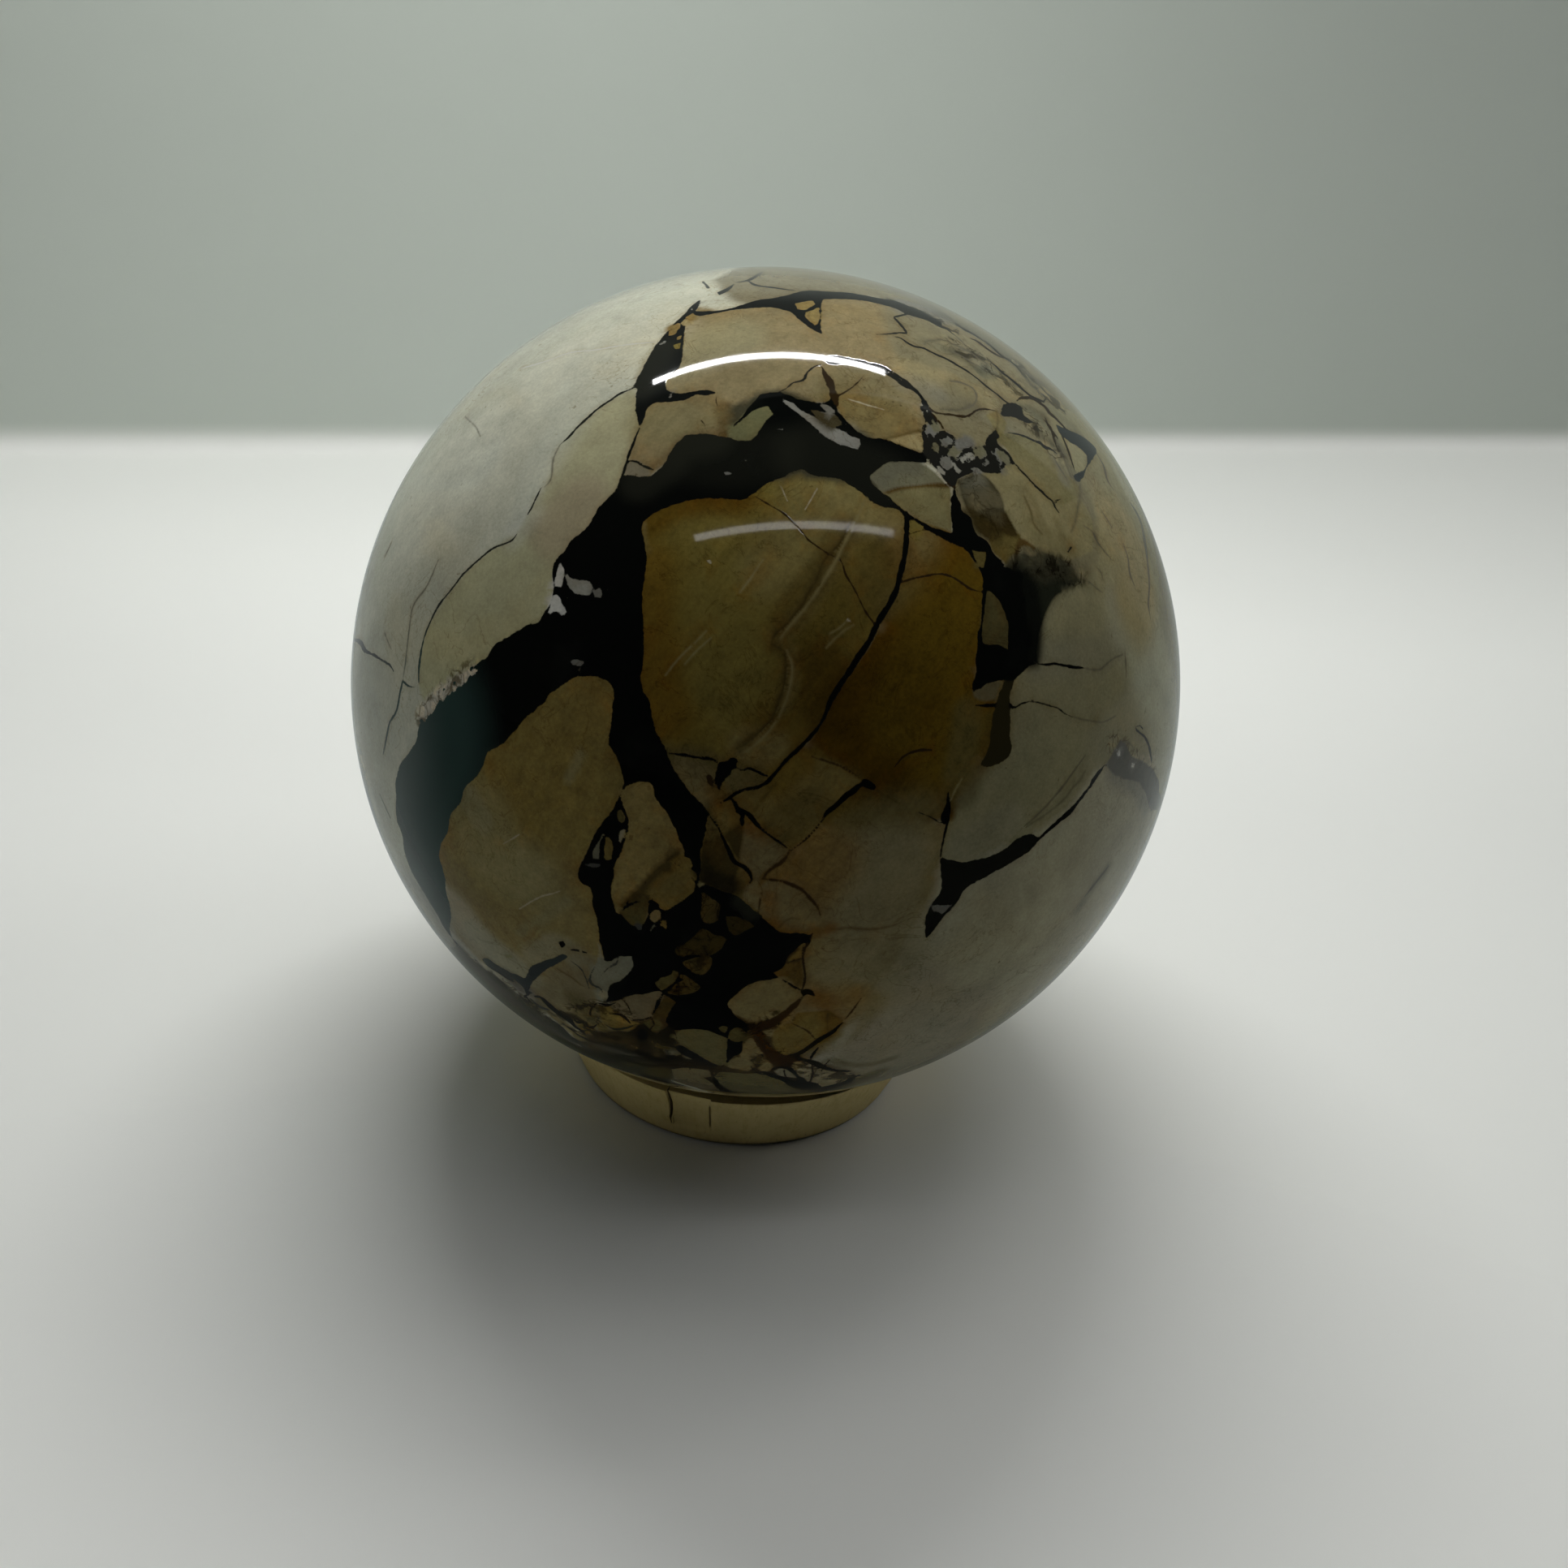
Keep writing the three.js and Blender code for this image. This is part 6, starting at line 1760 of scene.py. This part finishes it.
def make_stone():
    points, triangles, (stone, ink, depth, crumb, crush) = stone_mesh()
    mesh = bpy.data.meshes.new("agate")
    place = (points * SPHERE_RADIUS + np.array([0, 0, SPHERE_CENTRE_HEIGHT])) * MM
    mesh.vertices.add(len(points))
    mesh.vertices.foreach_set("co", place.astype(np.float32).ravel())
    mesh.loops.add(len(triangles) * 3)
    mesh.loops.foreach_set("vertex_index", triangles.astype(np.int32).ravel())
    mesh.polygons.add(len(triangles))
    mesh.polygons.foreach_set("loop_start", np.arange(0, len(triangles) * 3, 3, dtype=np.int32))
    mesh.update(calc_edges=True)
    mesh.validate()
    mesh.polygons.foreach_set("use_smooth", np.ones(len(triangles), bool))
    mesh.normals_split_custom_set_from_vertices(points.tolist())
    for name, values in (("stone", np.c_[stone, np.ones(len(stone))]), ("ink", ink)):
        layer = mesh.color_attributes.new(name, "FLOAT_COLOR", "POINT")
        layer.data.foreach_set("color", values.astype(np.float32).ravel())
    for name, values in (("vein_depth", depth), ("crumble", crumb), ("crush", crush)):
        layer = mesh.attributes.new(name, "FLOAT", "POINT")
        layer.data.foreach_set("value", values.astype(np.float32))
    mesh.materials.append(stone_material())
    piece = shown("agate_ball", mesh)
    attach(piece, "root")
    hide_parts("agate_sphere")


# Ring stand: fine turned surface. Steps are degrees, and all other measures are millimetres
RING_STEPS = 360
CRACK_REACH, CRACK_STEP = 1.6, 0.1
GROOVE_REACH, GROOVE_STEP = 1.1, 0.12
STEP_CLEARANCE = 0.2
# The drying crack, by the distance below the rim: sideways place, and half-width
CRACK_PATH = ((-0.4, -0.08), (0.6, 0.05), (1.9, 0.14), (3.4, 0.02), (4.6, -0.16), (5.6, -0.14))
CRACK_HALF_WIDTHS = ((-0.4, 0.07), (1.0, 0.13), (2.2, 0.16), (4.4, 0.12), (5.6, 0.02))
CRACK_END = 5.7
CRACK_DEPTH = 0.7
# The pared flat from the crack to the groove, and how far below the rim it runs out
FLAT_DEPTH = 0.3
FLAT_EASE, FLAT_END = 5.4, 6.0
# The groove, with a slight ridge beside it
GROOVE_TOP, GROOVE_FOOT = 1.1, 5.4
GROOVE_EASE = 0.5
GROOVE_DEPTH, RIDGE_HEIGHT = 0.16, 0.05
GROOVE_SIDEWAYS, RIDGE_SIDEWAYS = -0.05, 0.22
# Faint unevenness of the turned side
SIDE_WAVES = 6
SIDE_WAVE = 0.012
SIDE_MOST = 0.02
# Points of the section further out than this are pushed, and none of them goes lower than this
SIDE_RADIUS = FOOT_OUTER_RADIUS - 0.3
SIDE_LOWEST = 0.02
LEAN = math.atan2(RIM_OUTER_RADIUS - FOOT_OUTER_RADIUS, RING_HEIGHT)
SEAT_RADIUS = SPHERE_RADIUS + SEAT_CLEARANCE
SEAT_DROP = 0.01


def seat_height(radius):
    return SPHERE_CENTRE_HEIGHT - math.sqrt(SEAT_RADIUS * SEAT_RADIUS - radius * radius)


def ring_profile():
    """Points (radius, height) round the ring's cut section, from the foot's inner edge outwards and back."""
    seat_top = math.sqrt(SEAT_RADIUS**2 - (SPHERE_CENTRE_HEIGHT - RING_HEIGHT) ** 2)

    def side(height, inwards=0.0):
        return FOOT_OUTER_RADIUS + height / RING_HEIGHT * (RIM_OUTER_RADIUS - FOOT_OUTER_RADIUS) - inwards

    rim, eased = side(RING_HEIGHT), RING_HEIGHT - 0.16
    foot = [BORE_RADIUS + 0.5, BORE_RADIUS + 1.2, FOOT_OUTER_RADIUS - 1.2, FOOT_OUTER_RADIUS - 0.4]
    points = [(r, 0.0) for r in foot]
    points += [(side(0.05, 0.12), 0.05), (side(0.18, 0.03), 0.18)]
    points += [(side(h), h) for h in np.linspace(0.38, RING_HEIGHT - 0.32, 40)]
    points += [(side(eased, 0.02), eased), (rim - 0.10, RING_HEIGHT - 0.04), (rim - 0.24, RING_HEIGHT)]
    points += [(seat_top + 0.12, RING_HEIGHT)]
    points += [(r, seat_height(r) - SEAT_DROP) for r in np.linspace(seat_top, BORE_RADIUS + 0.15, 9)]
    points += [(BORE_RADIUS, seat_height(BORE_RADIUS) - 0.2)]
    points += [(BORE_RADIUS, h) for h in np.linspace(seat_height(BORE_RADIUS) - 0.8, 0.6, 5)]
    points += [(BORE_RADIUS + 0.2, 0.15)]
    return np.array(points)


def ring_angles():
    """Steps round the ring, closer together at the crack and the groove."""
    angles = np.linspace(-180, 180, RING_STEPS, endpoint=False)
    extra = np.concatenate([
        np.arange(middle - reach, middle + reach, step)
        for middle, reach, step in ((CRACK_ANGLE, CRACK_REACH, CRACK_STEP), (GROOVE_ANGLE, GROOVE_REACH, GROOVE_STEP))
    ])
    angles = angles[[np.abs(extra - a).min() > STEP_CLEARANCE for a in angles]]
    return np.sort(np.r_[angles, extra])


def side_push(angle, radius, below, waves):
    """How far the ring's side stands out at an angle and a distance below the rim, along the side's normal."""
    push = 0.0
    half = np.interp(below, *zip(*CRACK_HALF_WIDTHS)) if below <= CRACK_END else 0.0
    if half > 0.01:
        gap = abs(math.radians(angle - CRACK_ANGLE) * radius - np.interp(below, *zip(*CRACK_PATH)))
        push -= CRACK_DEPTH * float(smoothstep(half, half * 0.35, gap))
    if CRACK_ANGLE < angle < GROOVE_ANGLE and below < FLAT_END:
        bow = radius * (1 - math.cos(math.radians(angle - (CRACK_ANGLE + GROOVE_ANGLE) / 2)))
        push -= max(FLAT_DEPTH - bow, 0.0) * float(smoothstep(FLAT_END, FLAT_EASE, below))
    if GROOVE_TOP < below < GROOVE_FOOT:
        across = math.radians(angle - GROOVE_ANGLE) * radius
        ends = min(1.0, (below - GROOVE_TOP) / GROOVE_EASE, (GROOVE_FOOT - below) / GROOVE_EASE)
        push -= GROOVE_DEPTH * ends * float(smoothstep(0.17, 0.04, abs(across - GROOVE_SIDEWAYS)))
        push += RIDGE_HEIGHT * ends * float(smoothstep(0.35, 0.18, abs(across - RIDGE_SIDEWAYS)))
    a = math.radians(angle)
    for k, (s, c) in enumerate(waves, start=2):
        push += SIDE_WAVE * (s * math.sin(k * a) + c * math.cos(k * a))
    return min(push, SIDE_MOST)


def make_ring():
    waves = np.random.default_rng(SEED + 1).uniform(-1, 1, (SIDE_WAVES, 2))
    profile, angles = ring_profile(), ring_angles()
    vertices = []
    for angle in angles:
        a = math.radians(angle)
        for r, z in profile:
            if r > SIDE_RADIUS:
                push = side_push(angle, r, (RING_HEIGHT - z) / math.cos(LEAN), waves)
                r += push * math.cos(LEAN)
                z = min(max(z - push * math.sin(LEAN), SIDE_LOWEST), RING_HEIGHT)
            vertices.append((r * math.sin(a) * MM, -r * math.cos(a) * MM, z * MM))
    count, section = len(angles), len(profile)
    faces = []
    for i in range(count):
        j = (i + 1) % count
        for k in range(section):
            m = (k + 1) % section
            faces.append((i * section + k, j * section + k, j * section + m, i * section + m))
    mesh = bpy.data.meshes.new("turned_ring")
    mesh.from_pydata(vertices, [], faces)
    mesh.validate()
    mesh.update()
    mesh.polygons.foreach_set("use_smooth", np.ones(len(faces), bool))
    mesh.set_sharp_from_angle(angle=math.radians(38))
    mesh.materials.append(wood_material())
    piece = shown("turned_ring", mesh)
    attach(piece, "root")
    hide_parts("ring_stand")


# Colours of the wood, linear
WOOD_DARKER, WOOD_LIGHTER = (0.64, 0.51, 0.21), (0.76, 0.62, 0.28)
WOOD_FIBRE = (0.50, 0.37, 0.14)
WOOD_PORE = (0.38, 0.27, 0.10)
WOOD_PATCH = (0.54, 0.41, 0.16)
# Painted shade for the crack and the groove
WOOD_HOLLOW_SHADE = (0.09, 0.050, 0.018)


def wood_material():
    n = Nodes("turned_wood")
    # Grain runs up the ring; close pores and slow drifts of tone
    slow = n.noise(60, 3, 0.5, where=n.place((1, 1, 0.5)))
    base = n.mix(n.ramp(slow, 0.3, 0.7), WOOD_DARKER, WOOD_LIGHTER)
    fibre = n.noise(1.0, 5, 0.65, where=n.place((1500, 1500, 130)))
    base = n.mix(n.ramp(fibre, 0.45, 0.75, 0.0, 0.45), base, WOOD_FIBRE)
    pore = n.noise(1.0, 2, 0.7, where=n.place((4200, 4200, 620)))
    base = n.mix(n.ramp(pore, 0.62, 0.72, 0.0, 0.5), base, WOOD_PORE)
    patch = n.noise(380, 4, 0.6)
    base = n.mix(n.ramp(patch, 0.58, 0.78, 0.0, 0.4), base, WOOD_PATCH)
    # Painted shade: darker down in the crack and groove, found by ambient occlusion
    hollow_shade = n.add("ShaderNodeAmbientOcclusion", samples=6)
    hollow_shade.inputs["Distance"].default_value = 0.0008
    base = n.mix(n.times(n.ramp(hollow_shade.outputs["AO"], 0.35, 0.8, 1.0, 0.0), 0.85), base, WOOD_HOLLOW_SHADE)
    n.surface(Base_Color=base, Roughness=n.ramp(fibre, 0.3, 0.8, 0.46, 0.66), Specular_IOR_Level=0.35,
              Normal=n.bump(n.plus(fibre, n.times(pore, 0.6)), 0.35, 0.00005))
    return n.material


# Studio, in metres; its turn about the upright is in degrees
STAGE_TURN = 17.7
FLOOR_HALF = 2.2
FLOOR_FRONT = 0.10
APRON_FRONT = 3.0
FLOOR_BACK = 0.200
FLOOR_BEND = 0.004
BEND_STEPS = 8
WALL_HEIGHT = 1.6
STRIP_HEIGHT = 0.22
REFLECTOR_LIFT = 0.00005
# Where the paper's tone changes: to the floor's and to the far floor's going back, and to the wall's going up. The far
# floor's lighter tone is painted light, brighter near the wall
FLOOR_FADE = (-0.045, 0.01)
LIT_FAR_FLOOR_FADE = (0.05, 0.13)
WALL_FADE = (0.0005, 0.006)
# Tones of the front, the floor, the far floor and the wall: of the paper, and of what the polish reflects of it. The
# paper's lighter far floor is painted light
PAPER = ((0.80, 0.81, 0.775), (0.80, 0.81, 0.775), (0.90, 0.91, 0.87), (0.55, 0.60, 0.545))
SHINE = ((0.02, 0.02, 0.02), (0.40, 0.43, 0.42), (0.40, 0.43, 0.42), (0.55, 0.60, 0.55))


def paper_material(name, front, floor, back, wall):
    """Matt paper whose tone changes from the front to the wall. A lighter far floor, where one is given, is painted
    light.
    """
    n = Nodes(name)
    where = n.add("ShaderNodeSeparateXYZ")
    n.link(n.place(), where.inputs[0])
    tone = n.mix(n.ramp(where.outputs["Y"], *FLOOR_FADE), front, floor)
    # Painted light: the far floor is lighter, as if brighter near the wall
    tone = n.mix(n.ramp(where.outputs["Y"], *LIT_FAR_FLOOR_FADE), tone, back)
    tone = n.mix(n.ramp(where.outputs["Z"], *WALL_FADE), tone, wall)
    tone = n.tinted(n.ramp(n.noise(8, 3, 0.5), 0.3, 0.7), tone, (0.985, 0.985, 0.985))
    n.surface(Base_Color=tone, Roughness=0.85, Specular_IOR_Level=0.2)
    return n.material


def stage_sheet(name, section, material, lift=0.0):
    """A wide sheet of the stage along a line of (distance back, height) points, turned about the upright."""
    turn = math.radians(STAGE_TURN)
    along = np.array([math.cos(turn), math.sin(turn), 0.0])
    back = np.array([-math.sin(turn), math.cos(turn), 0.0])
    vertices, faces = [], []
    for y, z in section:
        for x in (-FLOOR_HALF, FLOOR_HALF):
            vertices.append(tuple(along * x + back * (y - lift) + np.array([0, 0, z + lift])))
    for k in range(len(section) - 1):
        faces.append((2 * k, 2 * k + 1, 2 * k + 3, 2 * k + 2))
    mesh = bpy.data.meshes.new(name)
    mesh.from_pydata(vertices, [], faces)
    mesh.update()
    mesh.polygons.foreach_set("use_smooth", np.ones(len(faces), bool))
    mesh.materials.append(material)
    sheet = shown(name, mesh)
    return sheet


def make_stage():
    """Pale floor that turns up into a pale wall behind the object."""
    bend = FLOOR_BACK - FLOOR_BEND
    section = [(-FLOOR_FRONT, 0.0), (bend, 0.0)]
    for k in range(1, BEND_STEPS + 1):
        a = math.radians(90 * k / BEND_STEPS)
        section.append((bend + FLOOR_BEND * math.sin(a), FLOOR_BEND - FLOOR_BEND * math.cos(a)))
    section.append((FLOOR_BACK, WALL_HEIGHT))
    paper = paper_material("studio_paper", *PAPER)
    floor = stage_sheet("studio_floor", section, paper)
    floor.visible_glossy = False
    # The nearest floor is seen, but throws no light back on the stone, as in a dark room
    apron = stage_sheet("studio_apron", [(-APRON_FRONT, 0.0), (-FLOOR_FRONT, 0.0)], paper)
    apron.visible_glossy = False
    apron.visible_diffuse = False
    # What the polish reflects of the floor and the wall: the same sheet in a dimmer tone, darker to the front
    shine = paper_material("studio_shine", *SHINE)
    mirror_side = stage_sheet("studio_reflector", [(-APRON_FRONT, 0.0)] + section, shine, REFLECTOR_LIFT)
    mirror_side.visible_camera = False
    mirror_side.visible_diffuse = False
    mirror_side.visible_shadow = False


# Two strips of light that show in the polish: name, place, size, power, turn about the upright in degrees
STRIPS = (
    ("strip_back", (-0.017, 0.070, STRIP_HEIGHT), (0.146, 0.007), 0.27, 6.6),
    ("strip_front", (0.010, -0.093, STRIP_HEIGHT), (0.163, 0.007), 0.02, 10.0),
)
# Broad soft fill, kept out of the polish so that the reflections stay crisp: name, place, size, power, aim
FILLS = (
    ("overhead", (0.0, 0.0, 0.9), (0.9, 0.9), 1.35, None),
    ("overhead_near", (0.0, 0.12, 0.5), (0.35, 0.35), 0.45, (0, 0, 0)),
    ("overhead_back", (0.0, 0.45, 0.75), (0.9, 0.5), 6.0, (0, 0.05, 0)),
    ("left_fill", (-0.8, -0.1, 0.35), (0.5, 0.5), 0.45, (0, 0, 0.03)),
    ("right_back_fill", (0.55, 0.15, 0.45), (0.3, 0.3), 0.60, (0.25, 0.2, 0)),
)
AIR_COLOUR = (0.80, 0.86, 0.82, 1)
AIR_STRENGTH = 0.012


def area_light(name, place, size, power):
    """A rectangle of light that shines straight down."""
    light = bpy.data.lights.new(name, "AREA")
    light.shape = "RECTANGLE"
    light.size, light.size_y = size
    light.energy = power
    lamp = shown(name, light)
    lamp.location = place
    return lamp


def make_lights():
    for *light, turn in STRIPS:
        area_light(*light).rotation_euler = (0, 0, math.radians(turn))
    for *light, aim in FILLS:
        lamp = area_light(*light)
        lamp.visible_glossy = False
        if aim:
            lamp.rotation_mode = "QUATERNION"
            lamp.rotation_quaternion = (Vector(aim) - lamp.location).to_track_quat("-Z", "Y")
    world = bpy.data.worlds.new("studio_air")
    world.use_nodes = True
    air = world.node_tree.nodes["Background"]
    air.inputs["Color"].default_value = AIR_COLOUR
    air.inputs["Strength"].default_value = AIR_STRENGTH
    bpy.context.scene.world = world


def make_camera():
    camera_data = bpy.data.cameras.new("picture_camera")
    camera_data.sensor_fit = "HORIZONTAL"
    camera_data.sensor_width = SENSOR_WIDTH
    camera_data.lens = FOCAL_PIXELS / PICTURE_PIXELS * SENSOR_WIDTH
    camera_data.clip_start, camera_data.clip_end = 0.005, 20
    camera = shown("picture_camera", camera_data)
    place = (CAMERA_PLACE + np.array([0, 0, SPHERE_CENTRE_HEIGHT])) * MM
    turn = Matrix((CAMERA_RIGHT, CAMERA_UP, -CAMERA_AHEAD)).transposed()
    camera.matrix_world = Matrix.Translation(Vector(place)) @ turn.to_4x4()
    bpy.context.scene.camera = camera


bpy.context.scene.view_settings.view_transform = "Standard"
make_camera()
make_lights()
make_stage()
make_stone()
make_ring()
